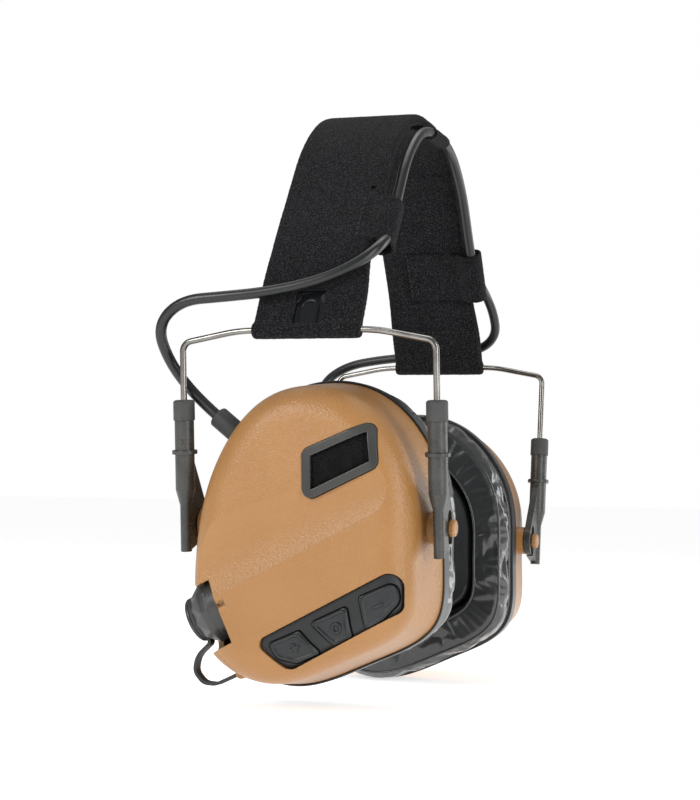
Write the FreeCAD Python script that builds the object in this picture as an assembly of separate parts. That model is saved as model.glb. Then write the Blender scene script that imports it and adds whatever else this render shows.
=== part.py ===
"""Electronic ear-muff hearing protector: padded strap, two sprung wire yokes and two cups.

Millimetres, +Z up. The origin is midway between the ear cushions at ear height.
+X is the wearer's left, -Y is the way the wearer faces.
The strap carries a flat spring. A wire yoke swings on a clip at each end of it, a pair of
arms slides on each yoke, and a cup tilts on two pins between each pair of arms.
"""
import FreeCAD, Part
import math
import os

Vector = FreeCAD.Vector
ORIGIN = Vector(0, 0, 0)
X_AXIS = Vector(1, 0, 0)
Y_AXIS = Vector(0, 1, 0)
Z_AXIS = Vector(0, 0, 1)

# Wire yokes
WIRE_RADIUS = 1.2
YOKE_HALF_SPAN = 50.0
CORNER_X = 87.8
CORNER_Z = 70.0
CORNER_RADIUS = 4.0
HINGE_X = 88.1
HINGE_Z = 74.4
HINGE_HALF = 22.0
HINGE_BEND = 27.0
LEG_LENGTH = 60.0
LEG_LEAN = 6.87
SLIDE_GAP = 0.05

# Arms: heights are measured down the leg from the top of the grip cap
BARE_WIRE = {"right": 21.6, "left": 29.2}
ARM_RADIUS = 3.65
ARM_NECK_RADIUS = 2.9
SPINE_RADIUS = 2.1
COLLAR_RADIUS = 4.75
COLLAR_DROP = 19.7
TAPER_TOP = 34.0
TAPER_END = 40.0
ARM_LENGTH = 57.4
ARM_BORE_DEPTH = 48.5
WEB_TOP = 21.0
WEB_INNER_Y = 48.2
WEB_OUTER_Y = 51.0
PIVOT_DROP = 47.9
PIVOT_REACH = 11.2
PIVOT_EYE_RADIUS = 6.4
SLOT_HALF_WIDTH = 2.5
SLOT_HALF_HEIGHT = 6.7
CAP_RADIUS = 4.05
CAP_LENGTH = 7.6

# Pivot pins and the bosses that they stand in
PIN_RADIUS = 2.3
PIN_HEAD_RADIUS = 3.4
PIN_HEAD_START = 51.3
PIN_HEAD_END = 53.3
BOSS_RADIUS = 6.0
BOSS_START = 40.6
BOSS_END = 47.9

# Strap
STRAP_HALF_WIDTH = 21.7
STRAP_HALF_THICKNESS = 2.5
HEM_RADIUS = 3.7
STRIP_HALF_WIDTH = 11.0
STRIP_THICKNESS = 0.8
PAD_HALF_WIDTH = 19.0
CLIP_HALF_WIDTH = 15.0
CLIP_RADIUS = 2.3
TAB_LENGTH = 19.0
RIVET_RADIUS = 1.5
SHOULDERS = [(73.0, 107.0), (44.0, 154.0), (20.0, 171.0)]
SHOULDER_RADII = [200.0, 68.0, 48.0]

# Cups, in cup coordinates: x outwards from the pin line, y rearwards, z up
RIM_POINTS = [(0, 55), (28, 45), (44, 19), (45.8, -12), (43.5, -35), (18, -51.5),
              (-14, -61), (-38.5, -49), (-46.4, -15), (-40, 22), (-20, 49)]
RIM_MIDDLE = (0.0, -2.0)
RIM_X = -15.4
FACE_X = 25.3
DRAFT_INSET = 4.2
FACE_ROUNDING = 12.5
COVER_WALL = 2.5
FLANGE_THICKNESS = 1.5
TUB_INSET = 6.0
TUB_WALL = 2.0
TUB_FLOOR_X = -2.5
CUSHION_THICKNESS = 13.0
CUSHION_INSET = 0.8
CUSHION_OPENING = 15.0
SPEAKER_RADIUS = 18.0
SCREW_PLACES = [(-29, 16), (31, 4), (-8, 38), (-17, -47)]
SCREW_RADIUS = 1.4

# Face features as (forward, up) from the pin line
WINDOW = [(1.3, 27.6), (28.4, 39.2), (31.1, 21.8), (2.1, 8.0)]
BEZEL_BORDER = 3.3
BEZEL_PROUD = 0.35
KEYPAD = [(-15.5, -42.3), (40.3, -12.8), (40.3, -29.4), (-2.2, -52.4)]
KEYPAD_CORNERS = [2.9, 5.0, 4.0, 4.5]
KEYPAD_DEPTH = 1.3
KEYPAD_THICKNESS = 2.8
KEY_DEPTH = 0.4
KEY_BOTTOM = 15.5
KEY_GAP = 0.35
KEYS = {"plus": [(-9.9, -42.6), (1.9, -37.4), (10.0, -45.2), (1.0, -49.3), (-6.5, -47.8)],
        "mode": [(5.9, -34.6), (19.8, -28.1), (22.0, -38.9), (15.0, -42.5)],
        "minus": [(24.2, -24.7), (37.6, -18.9), (39.0, -26.0), (33.0, -33.0), (26.8, -36.3)]}
KEY_CORNERS = {"plus": [1.2, 1.2, 1.0, 4.0, 4.0], "mode": [1.2, 1.2, 1.2, 1.2],
               "minus": [1.2, 2.6, 5.0, 4.0, 1.2]}
KEY_SLANT = 27.0
KEY_PITCH = 18.0
KEY_MIDDLE = (16.0, -35.9)
BOARD_X = 11.5
VALLEY_RADIUS = 34.0
VALLEY_DEPTH = 2.2

# Battery compartment: its cap turns about an axis that leans out of the cup's lower rear
CAP_CENTRE = (11.6, 35.6, -32.2)
CAP_LEAN = 26.0
KNOB_RADIUS = 12.5
KNOB_END_RADIUS = 8.3
KNOB_NECK = 6.2
KNOB_DISC = 7.8
NOTCH_FLOOR = -6.0
NOTCH_SIDES = (-10.2, 14.6)
CELL_RADIUS = 5.25
TETHER_WIDTH = 4.0
TETHER_THICKNESS = 1.2

# Lead between the cups
LEAD_RADIUS = 2.1
GLAND_RADIUS = 4.0
GLAND_LENGTH = 14.0
GLAND_END = (11.5, 37.7, 40.1)
GLAND_LEAN = 38.0
GLAND_RUN = 12.0
BAND_LEAD_Y = -22.9
BAND_LEAD_DEPTH = -5.0

# Routes of the lead from each gland round to its wrap, and through the wrap as
# (distance along the strap, Y, height above the strap's middle)
LEAD_RIGHT_LOOP = [(-82.0, 58.0, 63.0), (-88.0, 61.0, 76.5), (-90.5, 50.5, 86.0), (-90.0, 33.0, 87.2),
                   (-88.4, 16.0, 88.8), (-86.8, 0.0, 92.0), (-84.6, -12.0, 96.5), (-81.2, -20.8, 102.5),
                   (-76.0, -24.6, 108.0)]
LEAD_LEFT_LOOP = [(81.0, 58.0, 54.5), (88.0, 58.5, 67.5), (92.0, 48.0, 75.8), (93.3, 32.0, 78.8),
                  (93.6, 14.0, 80.2), (93.0, -6.0, 81.2), (91.0, -20.5, 83.5), (87.0, -28.0, 90.0),
                  (82.0, -27.6, 99.5), (76.6, -25.2, 107.5)]
LEAD_IN_WRAP = [(47.0, -24.0, -4.6), (56.0, -23.2, -5.2), (66.0, -22.9, -5.0)]


def vec(point):
    return Vector(point[0], point[1], point[2])


def rounded_route(points, radii):
    """Straight runs through the points, each inner corner eased by a tangent arc."""
    edges = []
    here = points[0]
    for before, corner, after, radius in zip(points, points[1:], points[2:], radii):
        inward = (corner - before).normalize()
        outward = (after - corner).normalize()
        turn = inward.getAngle(outward)
        reach = radius * math.tan(turn / 2)
        start = corner - inward * reach
        end = corner + outward * reach
        middle_way = (outward - inward).normalize()
        to_arc = radius / math.cos(turn / 2) - radius
        edges.append(Part.LineSegment(here, start).toShape())
        edges.append(Part.Arc(start, corner + middle_way * to_arc, end).toShape())
        here = end
    edges.append(Part.LineSegment(here, points[-1]).toShape())
    return edges


def easy_radii(points):
    """The largest comfortable bend at each inner point of a lead's route."""
    radii = []
    for before, corner, after in zip(points, points[1:], points[2:]):
        shorter = min((corner - before).Length, (after - corner).Length)
        turn = (corner - before).getAngle(after - corner)
        radii.append(0.45 * shorter / math.tan(turn / 2))
    return radii


def rounded_loop(points, radii):
    """Closed flat outline with an arc at every corner."""
    edges = []
    count = len(points)
    ends = []
    for index in range(count):
        corner = points[index]
        inward = (corner - points[index - 1]).normalize()
        outward = (points[(index + 1) % count] - corner).normalize()
        turn = inward.getAngle(outward)
        reach = radii[index] * math.tan(turn / 2)
        middle = corner + (outward - inward).normalize() * (radii[index] / math.cos(turn / 2) - radii[index])
        ends.append((corner - inward * reach, middle, corner + outward * reach))
    for index in range(count):
        start, middle, end = ends[index]
        edges.append(Part.Arc(start, middle, end).toShape())
        edges.append(Part.LineSegment(end, ends[(index + 1) % count][0]).toShape())
    return Part.Wire(edges)


def tube(edges, radius):
    """Round bar along a route of tangent edges."""
    start = edges[0].valueAt(edges[0].FirstParameter)
    direction = edges[0].tangentAt(edges[0].FirstParameter)
    disc = Part.Face(Part.Wire(Part.Circle(start, direction, radius).toShape()))
    return Part.Wire(edges).makePipe(disc)


def rod(radius, start, end):
    """Plain cylinder between two points."""
    axis = end - start
    return Part.makeCylinder(radius, axis.Length, start, axis)


def ring(outer, inner, start, end):
    """Cylinder with a clear bore between two points."""
    return rod(outer, start, end).cut(rod(inner, start, end))


def cup_face(points, x, radii):
    """Flat face at cup depth x from (forward, up) corners."""
    corners = [Vector(x, -forward, up) for forward, up in points]
    return Part.Face(rounded_loop(corners, radii))


def slab(face, depth):
    """Flat face thickened inwards, towards the head."""
    return face.extrude(Vector(-depth, 0, 0))


def to_side(shape, side):
    """The parts are drawn for the wearer's left and mirrored for the right."""
    if side == "left":
        return shape
    return shape.mirror(ORIGIN, X_AXIS)


# ---------------------------------------------------------------- places on each side

def leg_point(drop, reach):
    """Point in the XZ plane, down a yoke leg and then inwards from it."""
    lean = math.radians(LEG_LEAN)
    x = CORNER_X - drop * math.sin(lean) - reach * math.cos(lean)
    z = CORNER_Z - drop * math.cos(lean) + reach * math.sin(lean)
    return Vector(x, 0, z)


def place_arm(shape, side):
    """From arm coordinates, with the cap's top at the origin, to the side's leg."""
    placed = shape.copy()
    placed.rotate(ORIGIN, Y_AXIS, LEG_LEAN)
    placed.translate(leg_point(BARE_WIRE[side], 0))
    return to_side(placed, side)


def pivot_place(side):
    return leg_point(BARE_WIRE[side] + PIVOT_DROP, PIVOT_REACH)


def place_cup(shape, side):
    """From cup coordinates, with the pin line at the origin, to the side's pin line."""
    placed = shape.copy()
    placed.translate(pivot_place(side))
    return to_side(placed, side)


# ---------------------------------------------------------------- wire yokes and arms

def wire_yoke(side):
    """Spring wire bent into a wide staple: two legs and a slightly raised crossbar."""
    end = leg_point(LEG_LENGTH, 0)
    half = [Vector(end.x, YOKE_HALF_SPAN, end.z), Vector(CORNER_X, YOKE_HALF_SPAN, CORNER_Z),
            Vector(HINGE_X, HINGE_BEND, HINGE_Z)]
    points = half + [Vector(p.x, -p.y, p.z) for p in reversed(half)]
    edges = rounded_route(points, [CORNER_RADIUS, 60, 60, CORNER_RADIUS])
    return to_side(tube(edges, WIRE_RADIUS), side)


def arm(side, facing):
    """Moulded arm: a tube on the yoke leg that thins to a spine, and a slotted web."""
    top = Vector(0, 0, -1.2)
    neck_end = Vector(0, 0, -CAP_LENGTH)
    taper_top = Vector(0, 0, -TAPER_TOP)
    taper_end = Vector(0, 0, -TAPER_END)
    foot = Vector(0, 0, -ARM_LENGTH)
    body = rod(ARM_NECK_RADIUS, neck_end, top)
    body = body.fuse(rod(ARM_RADIUS, taper_top, neck_end))
    body = body.fuse(rod(COLLAR_RADIUS, Vector(0, 0, -COLLAR_DROP - 0.7), Vector(0, 0, -COLLAR_DROP + 0.7)))
    body = body.fuse(rod(1.0, Vector(3.0, 0, -15.7), Vector(3.95, 0, -15.7)))
    taper = Part.makeCone(SPINE_RADIUS, ARM_RADIUS, TAPER_END - TAPER_TOP, taper_end, Z_AXIS)
    body = body.fuse([taper, rod(SPINE_RADIUS, foot, taper_end)])
    body = body.fuse(arm_web())
    body = body.cut(arm_slot())
    body = body.cut(rod(WIRE_RADIUS + SLIDE_GAP, Vector(0, 0, -ARM_BORE_DEPTH), Vector(0, 0, 1)))
    body.translate(Vector(0, YOKE_HALF_SPAN, 0))
    if facing == "front":
        body = body.mirror(ORIGIN, Y_AXIS)
    return place_arm(body.removeSplitter(), side)


def arm_web():
    """Flat web from the tube in to a round eye about the pivot."""
    low = WEB_INNER_Y - YOKE_HALF_SPAN
    corners = [(0, -WEB_TOP), (-3, -WEB_TOP), (-17.4, -46.2), (-13, -54.0), (0, -ARM_LENGTH + 0.4)]
    points = [Vector(x, low, z) for x, z in corners]
    flat = Part.Face(Part.makePolygon(points + points[:1]))
    depth = Vector(0, WEB_OUTER_Y - WEB_INNER_Y, 0)
    eye = Part.makeCylinder(PIVOT_EYE_RADIUS, depth.y, Vector(-PIVOT_REACH, low, -PIVOT_DROP), Y_AXIS)
    return flat.extrude(depth).fuse(eye)


def arm_slot():
    """Upright slot with round ends, in which the pivot pin stands."""
    low = WEB_INNER_Y - YOKE_HALF_SPAN - 1
    depth = WEB_OUTER_Y - WEB_INNER_Y + 2
    straight = SLOT_HALF_HEIGHT - SLOT_HALF_WIDTH
    corner = Vector(-PIVOT_REACH - SLOT_HALF_WIDTH, low, -PIVOT_DROP - straight)
    middle = Part.makeBox(2 * SLOT_HALF_WIDTH, depth, 2 * straight, corner)
    for way in (-1, 1):
        end = Vector(-PIVOT_REACH, low, -PIVOT_DROP + way * straight)
        middle = middle.fuse(Part.makeCylinder(SLOT_HALF_WIDTH, depth, end, Y_AXIS))
    return middle


def grip_caps(side):
    """Rubber caps pressed over the tops of the two arms; they grip the wire."""
    outer = rod(CAP_RADIUS, Vector(0, 0, -CAP_LENGTH), ORIGIN)
    outer = outer.makeFillet(1.0, [edge for edge in outer.Edges if edge.CenterOfMass.z > -0.1])
    neck = rod(ARM_NECK_RADIUS, Vector(0, 0, -CAP_LENGTH), Vector(0, 0, -1.2))
    cap = outer.cut(neck).cut(rod(WIRE_RADIUS + SLIDE_GAP, Vector(0, 0, -2), Vector(0, 0, 1)))
    caps = []
    for y in (YOKE_HALF_SPAN, -YOKE_HALF_SPAN):
        one = cap.copy()
        one.translate(Vector(0, y, 0))
        caps.append(place_arm(one, side))
    return Part.makeCompound(caps)


# ---------------------------------------------------------------- strap and its spring

def arch_edges():
    """Centre line of the strap from the left hinge over the head to the right hinge."""
    left = [Vector(HINGE_X, 0, HINGE_Z)] + [Vector(x, 0, z) for x, z in SHOULDERS]
    points = left + [Vector(-p.x, 0, p.z) for p in reversed(left)]
    return rounded_route(points, SHOULDER_RADII + SHOULDER_RADII[::-1])


def arch_place(distance):
    """Point on the centre line at a distance from the left hinge, and its outward normal."""
    for edge in ARCH:
        if distance <= edge.Length:
            break
        distance -= edge.Length
    parameter = edge.getParameterByLength(min(distance, edge.Length))
    along = edge.tangentAt(parameter)
    return edge.valueAt(parameter), along.cross(Y_AXIS) * -1


def offset_edges(start, end, height):
    """Stretch of the arch between two distances, moved outwards by a height."""
    edges = []
    travelled = 0.0
    for edge in ARCH:
        first = max(start, travelled)
        last = min(end, travelled + edge.Length)
        travelled += edge.Length
        if last - first < 1e-6:
            continue
        places = [arch_place(first), arch_place((first + last) / 2), arch_place(last)]
        points = [point + normal * height for point, normal in places]
        if edge.Curve.TypeId == "Part::GeomCircle":
            edges.append(Part.Arc(*points).toShape())
        else:
            edges.append(Part.LineSegment(points[0], points[2]).toShape())
    return edges


def band(start, end, low, high, y_low, y_high):
    """Layer of the strap: between two heights, two distances and two Y values."""
    inner = Part.Wire(Part.sortEdges(offset_edges(start, end, low))[0])
    outer = Part.Wire(Part.sortEdges(offset_edges(start, end, high))[0])
    inner_ends = [vertex.Point for vertex in (inner.OrderedVertexes[0], inner.OrderedVertexes[-1])]
    outer_ends = [vertex.Point for vertex in (outer.OrderedVertexes[0], outer.OrderedVertexes[-1])]
    sides = [Part.LineSegment(one, two).toShape() for one, two in zip(inner_ends, outer_ends)]
    edges = Part.sortEdges(inner.Edges + outer.Edges + sides)[0]
    face = Part.Face(Part.Wire(edges))
    face.translate(Vector(0, y_low, 0))
    return face.extrude(Vector(0, y_high - y_low, 0))


def across(shape_list):
    """Everything in the list on both sides."""
    return shape_list + [shape.mirror(ORIGIN, X_AXIS) for shape in shape_list]


def hinge_rod(radius, half_length):
    """Cylinder about the left hinge line."""
    return rod(radius, Vector(HINGE_X, -half_length, HINGE_Z), Vector(HINGE_X, half_length, HINGE_Z))


def spring_strip():
    """Flat spring of the headband, drilled at each end for its two rivets."""
    strip = band(6, ARCH_LENGTH - 6, -STRIP_THICKNESS / 2, STRIP_THICKNESS / 2,
                 -STRIP_HALF_WIDTH, STRIP_HALF_WIDTH)
    return strip.cut(across(rivet_shanks()))


def rivet_shanks():
    shanks = []
    for y in (-6.0, 6.0):
        point, normal = arch_place(13.0)
        middle = point + Vector(0, y, 0)
        shanks.append(rod(RIVET_RADIUS, middle - normal * 0.7, middle + normal * 1.6))
    return shanks


def strip_rivets():
    """Rivets that join the strip to its two clips: shank and one round head each."""
    rivets = []
    for y in (-6.0, 6.0):
        point, normal = arch_place(13.0)
        middle = point + Vector(0, y, 0)
        low = middle - normal * (STRIP_THICKNESS / 2)
        high = middle + normal * (STRIP_THICKNESS * 1.5)
        head = rod(RIVET_RADIUS + 0.7, high, high + normal * 0.5)
        rivets.append(rod(RIVET_RADIUS, low, high).fuse(head))
    return Part.makeCompound(across(rivets))


def wire_clip(side):
    """Pressed steel clip: an eye round the crossbar and a tab riveted over the strip."""
    eye = hinge_rod(CLIP_RADIUS, CLIP_HALF_WIDTH)
    tab = band(0.2, TAB_LENGTH, STRIP_THICKNESS / 2, STRIP_THICKNESS * 1.5, -STRIP_HALF_WIDTH, STRIP_HALF_WIDTH)
    clip = eye.fuse(tab)
    clip = clip.cut(hinge_rod(WIRE_RADIUS + SLIDE_GAP, CLIP_HALF_WIDTH + 1))
    return to_side(clip.cut(rivet_shanks()).removeSplitter(), side)


def strap_cover():
    """Fleece sleeve of the strap; its two ends are hemmed round the crossbars."""
    hem_gap = 0.3
    cover = band(0, ARCH_LENGTH, -STRAP_HALF_THICKNESS, STRAP_HALF_THICKNESS,
                 -STRAP_HALF_WIDTH, STRAP_HALF_WIDTH)
    cover = cover.fuse(across([hinge_rod(HEM_RADIUS, STRAP_HALF_WIDTH)]))
    wires = across([hinge_rod(WIRE_RADIUS + hem_gap, STRAP_HALF_WIDTH + 1)])
    clips = across([hinge_rod(CLIP_RADIUS + 0.1, CLIP_HALF_WIDTH + 0.2)])
    tabs = across([band(0, TAB_LENGTH + 0.2, 0.35, 1.8, -11.2, 11.2)])
    strip = band(0, ARCH_LENGTH, -0.45, 0.45, -11.1, 11.1)
    pad = band(24, ARCH_LENGTH - 24, -1.7, -0.45, -PAD_HALF_WIDTH - 0.1, PAD_HALF_WIDTH + 0.1)
    windows = across([band(3.0, 15.5, 1.0, 5.0, -5.2, 5.2)])
    return cover.cut(wires + clips + tabs + [strip, pad] + windows)


def band_pad():
    """Thin foam between the spring and the wearer's side of the cover."""
    return band(24.2, ARCH_LENGTH - 24.2, -1.6, -0.5, -PAD_HALF_WIDTH, PAD_HALF_WIDTH)


def side_wrap(side, start, end):
    """Fleece tab stitched to the strap and folded round its front edge to hold the lead."""
    pocket = band(start, end, -8.2, 3.3, -27.3, -17.0)
    flap = band(start, end, -3.8, -STRAP_HALF_THICKNESS, -17.0, 9.0)
    strap = band(start - 5, end + 5, -STRAP_HALF_THICKNESS, STRAP_HALF_THICKNESS, -STRAP_HALF_WIDTH, 30)
    outer = pocket.fuse(flap).cut(strap)
    hollow = tube(LEAD_EDGES, LEAD_RADIUS + 0.1)
    return to_side(outer, side).cut(hollow)


def crest_wrap():
    """Short fleece tunnel under the middle of the strap."""
    middle = ARCH_LENGTH / 2
    tunnel = band(middle - 11, middle + 11, -8.2, -STRAP_HALF_THICKNESS, -26.2, -18.5)
    return tunnel.cut(tube(LEAD_EDGES, LEAD_RADIUS + 0.1))


# ---------------------------------------------------------------- lead

def gland_point(side, back):
    """Point on a lead gland's axis, this far back from its outer end."""
    lean = math.radians(GLAND_LEAN)
    local = vec(GLAND_END) - Vector(0, math.cos(lean), math.sin(lean)) * back
    point = local + pivot_place(side)
    if side == "right":
        point.x = -point.x
    return point


def band_lead_points():
    """Route of the lead along the strap's inner face, from the left wrap to the right."""
    left = []
    for distance, y, height in LEAD_IN_WRAP:
        point, normal = arch_place(distance)
        point += normal * height
        left.append(Vector(point.x, y, point.z))
    corners = [Vector(x, 0, z) for x, z in SHOULDERS] + [Vector(0, 0, SHOULDERS[-1][1])]
    for before, corner, after in zip(corners, corners[1:], corners[2:]):
        inward = (corner - before).normalize()
        outward = (after - corner).normalize()
        half_turn = inward.getAngle(outward) / 2
        point = corner - (outward - inward).normalize() * (BAND_LEAD_DEPTH / math.cos(half_turn))
        left.append(Vector(point.x, BAND_LEAD_Y, point.z))
    return left + [Vector(-p.x, p.y, p.z) for p in reversed(left)]


def lead_route():
    left = [gland_point("left", 0), gland_point("left", -GLAND_RUN)] + [vec(p) for p in LEAD_LEFT_LOOP]
    right = [gland_point("right", 0), gland_point("right", -GLAND_RUN)] + [vec(p) for p in LEAD_RIGHT_LOOP]
    return left + band_lead_points() + right[::-1]


def gland(side):
    """Rubber gland that grips the lead where it leaves the cup."""
    start = gland_point(side, GLAND_LENGTH)
    end = gland_point(side, 0)
    return rod(GLAND_RADIUS, start, end)


# ---------------------------------------------------------------- cups

def rim_curve(x, inset):
    """The cup's egg-shaped outline at depth x, drawn in by an inset."""
    points = []
    for forward, up in RIM_POINTS:
        away = Vector(0, -(forward - RIM_MIDDLE[0]), up - RIM_MIDDLE[1])
        length = away.Length
        point = Vector(x, -RIM_MIDDLE[0], RIM_MIDDLE[1]) + away * ((length - inset) / length)
        points.append(point)
    curve = Part.BSplineCurve()
    curve.interpolate(Points=points, PeriodicFlag=True)
    return Part.Wire(curve.toShape())


def rim_slab(inset, x_low, x_high):
    face = Part.Face(rim_curve(x_low, inset))
    return face.extrude(Vector(x_high - x_low, 0, 0))


def domed_block(inset, x_low, x_high, rounding):
    """Drafted block on the rim outline with a large rounding at its outer face."""
    draft = DRAFT_INSET / (FACE_X - RIM_X)
    low = rim_curve(x_low, inset + draft * (x_low - RIM_X))
    high = rim_curve(x_high, inset + draft * (x_high - RIM_X))
    block = Part.makeLoft([low, high], True, True)
    edges = [edge for edge in block.Edges if abs(edge.CenterOfMass.x - x_high) < 0.01]
    return block.makeFillet(rounding, edges[:1])


def valley_bar(radius):
    """Long bar whose underside is the shallow valley that crosses the cover."""
    slope = math.radians(23.5)
    along = Vector(0.024, -math.cos(slope), math.sin(slope)).normalize()
    middle = Vector(FACE_X - VALLEY_DEPTH + VALLEY_RADIUS + 0.4, 0, 2.0)
    return rod(radius, middle - along * 70, middle + along * 70)


def cap_axis():
    lean = math.radians(CAP_LEAN)
    return Vector(0, math.cos(lean), -math.sin(lean))


def cap_point(distance):
    """Point on the battery cap's axis, outwards from its middle."""
    return vec(CAP_CENTRE) + cap_axis() * distance


def knob_notch():
    """Square notch that leaves the knob open, from its axis out through the cover's face."""
    across = cap_axis().cross(X_AXIS).normalize()
    floor = [cap_point(NOTCH_FLOOR) + across * side for side in NOTCH_SIDES]
    mouth = [cap_point(25) + across * side for side in NOTCH_SIDES]
    face = Part.Face(Part.makePolygon([floor[0], floor[1], mouth[1], mouth[0], floor[0]]))
    return face.extrude(X_AXIS * 20)


def cup_cover(side):
    """Outer shell of a cup with its window, recesses and pivot bosses."""
    outer = domed_block(0, RIM_X, FACE_X, FACE_ROUNDING).cut(valley_bar(VALLEY_RADIUS))
    inner = domed_block(COVER_WALL, RIM_X - 1, FACE_X - COVER_WALL, FACE_ROUNDING - COVER_WALL)
    inner = inner.cut(valley_bar(VALLEY_RADIUS + COVER_WALL))
    shell = outer.cut(inner)
    for way in (-1, 1):
        boss = rod(BOSS_RADIUS, Vector(0, way * BOSS_START, 0), Vector(0, way * BOSS_END, 0))
        shell = shell.fuse(boss)
    for forward, up in SCREW_PLACES:
        pillar = rod(3.0, Vector(TUB_FLOOR_X, -forward, up), Vector(FACE_X, -forward, up))
        shell = shell.fuse(pillar.common(outer))
    window = slab(cup_face(WINDOW, FACE_X + 5, [3.5] * 4), 25)
    cuts = [window, rod(GLAND_RADIUS + 1.3, gland_local(GLAND_LENGTH), gland_local(-9))]
    for way in (-1, 1):
        cuts.append(rod(PIN_RADIUS, Vector(0, way * 38, 0), Vector(0, way * 50, 0)))
    for forward, up in SCREW_PLACES:
        cuts.append(rod(SCREW_RADIUS, Vector(TUB_FLOOR_X - 1, -forward, up), Vector(8.5, -forward, up)))
    if side == "right":
        cuts.append(slab(cup_face(KEYPAD, FACE_X + 5, KEYPAD_CORNERS), 20))
        cuts.append(rod(KNOB_RADIUS + 1.2, cap_point(-9.3), cap_point(20)))
        cuts.append(knob_notch())
        shell = shell.fuse(tether_lug())
    return place_cup(shell.cut(cuts), side)


def gland_local(back):
    lean = math.radians(GLAND_LEAN)
    return vec(GLAND_END) - Vector(0, math.cos(lean), math.sin(lean)) * back


def cup_base(side):
    """Inner cup: a flange under the cover's rim and a tub that forms the ear cavity."""
    flange = rim_slab(0, RIM_X - FLANGE_THICKNESS, RIM_X)
    tub = rim_slab(TUB_INSET, RIM_X, TUB_FLOOR_X)
    hollow = rim_slab(TUB_INSET + TUB_WALL, RIM_X - 2, TUB_FLOOR_X - TUB_WALL)
    holes = []
    for forward, up in SCREW_PLACES:
        holes.append(rod(SCREW_RADIUS + 0.2, Vector(-10, -forward, up), Vector(0, -forward, up)))
    return place_cup(flange.fuse(tub).cut([hollow] + holes), side)


def cover_screws(side):
    """Screws from the ear side through the tub's floor into the cover's pillars."""
    screws = []
    for forward, up in SCREW_PLACES:
        floor = Vector(TUB_FLOOR_X - TUB_WALL, -forward, up)
        head = rod(2.6, floor - X_AXIS * 1.8, floor)
        shank = rod(SCREW_RADIUS, floor, Vector(8.0, -forward, up))
        screws.append(place_cup(head.fuse(shank), side))
    return Part.makeCompound(screws)


def cushion_plate(side):
    """Stiff ring that the ear cushion is welded to; it snaps onto the base."""
    high = RIM_X - FLANGE_THICKNESS
    low = high - FLANGE_THICKNESS
    plate = rim_slab(0.5, low, high).cut(rim_slab(CUSHION_OPENING, low - 1, high + 1))
    return place_cup(plate, side)


def cushion(side):
    """Soft ear cushion, rounded on its outer and inner edges."""
    high = RIM_X - 2 * FLANGE_THICKNESS
    low = high - CUSHION_THICKNESS
    block = rim_slab(CUSHION_INSET, low, high)
    block = block.makeFillet(4.5, [edge for edge in block.Edges if abs(edge.CenterOfMass.x - low) < 0.01][:1])
    ring_shape = block.cut(rim_slab(CUSHION_OPENING, low - 1, high + 1))
    return place_cup(ring_shape, side)


def ear_foam(side):
    """Sound-absorbing foam across the ear cavity, in front of the speaker."""
    return place_cup(rim_slab(TUB_INSET + TUB_WALL + 0.4, -13.5, -9.4), side)


def speaker(side):
    """Round loudspeaker on the tub's floor: basket, magnet step and dust cap."""
    floor = TUB_FLOOR_X - TUB_WALL
    body = rod(SPEAKER_RADIUS, Vector(floor - 2.2, 0, 0), Vector(floor, 0, 0))
    body = body.fuse(rod(SPEAKER_RADIUS - 3, Vector(floor - 3.6, 0, 0), Vector(floor - 2.2, 0, 0)))
    body = body.fuse(rod(6, Vector(floor - 4.4, 0, 0), Vector(floor - 3.6, 0, 0)))
    return place_cup(body, side)


def circuit_board(side):
    """Amplifier board with a few tall components, standing off the tub."""
    board = Part.makeBox(1.6, 46, 28, Vector(3, -23, 6))
    parts = [Part.makeBox(2.4, 9, 9, Vector(4.6, -4, 14)), Part.makeBox(3.4, 6, 7, Vector(4.6, 11, 22)),
             rod(3, Vector(4.6, -15, 15), Vector(10.6, -15, 15))]
    return place_cup(board.fuse(parts), side)


def dome(depth):
    """The cover's outer form, drawn in everywhere by a depth."""
    return domed_block(depth, RIM_X - 1, FACE_X - depth, FACE_ROUNDING - depth)


def cup_prism(points, radii, shrink, x_low):
    """Prism on a face outline, shrunk all round, from depth x_low out past the cover."""
    face = cup_face(points, FACE_X + 5, radii)
    if shrink:
        face = Part.Face(face.OuterWire.makeOffset2D(-shrink))
    return slab(face, FACE_X + 5 - x_low)


def mic_bezel(side):
    """Frame in the cover's window that follows the cover's curve; it clamps the wind foam."""
    outer = cup_prism(WINDOW, [3.5] * 4, 0.2, 5).common(dome(-BEZEL_PROUD)).cut(dome(3.2))
    return place_cup(outer.cut(cup_prism(WINDOW, [3.5] * 4, BEZEL_BORDER, 0)), side)


def mic_foam(side):
    """Open-cell wind foam inside the bezel."""
    foam = cup_prism(WINDOW, [3.5] * 4, BEZEL_BORDER + 0.1, 5)
    return place_cup(foam.common(dome(0.9)).cut(dome(4.2)), side)


def mic_capsule(side):
    """Microphone behind the wind foam."""
    return place_cup(rod(4.8, Vector(15.2, -14, 22), Vector(20.2, -14, 22)), side)


def pivot_pins(side):
    """Two pins that stand in the bosses and carry the cup in the arms' slots."""
    pins = []
    for way in (-1, 1):
        shank = rod(PIN_RADIUS, Vector(0, way * (BOSS_START + 0.2), 0), Vector(0, way * PIN_HEAD_START, 0))
        corners = []
        for step in range(9):
            angle = math.radians(22.5 + 45 * step)
            corners.append(Vector(PIN_HEAD_RADIUS * math.cos(angle), way * PIN_HEAD_START,
                                  PIN_HEAD_RADIUS * math.sin(angle)))
        head = Part.Face(Part.makePolygon(corners)).extrude(Vector(0, way * (PIN_HEAD_END - PIN_HEAD_START), 0))
        far_edges = [edge for edge in head.Edges if abs(abs(edge.CenterOfMass.y) - PIN_HEAD_END) < 0.01]
        pins.append(place_cup(shank.fuse(head.makeChamfer(0.6, far_edges)), side))
    return Part.makeCompound(pins)


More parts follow.
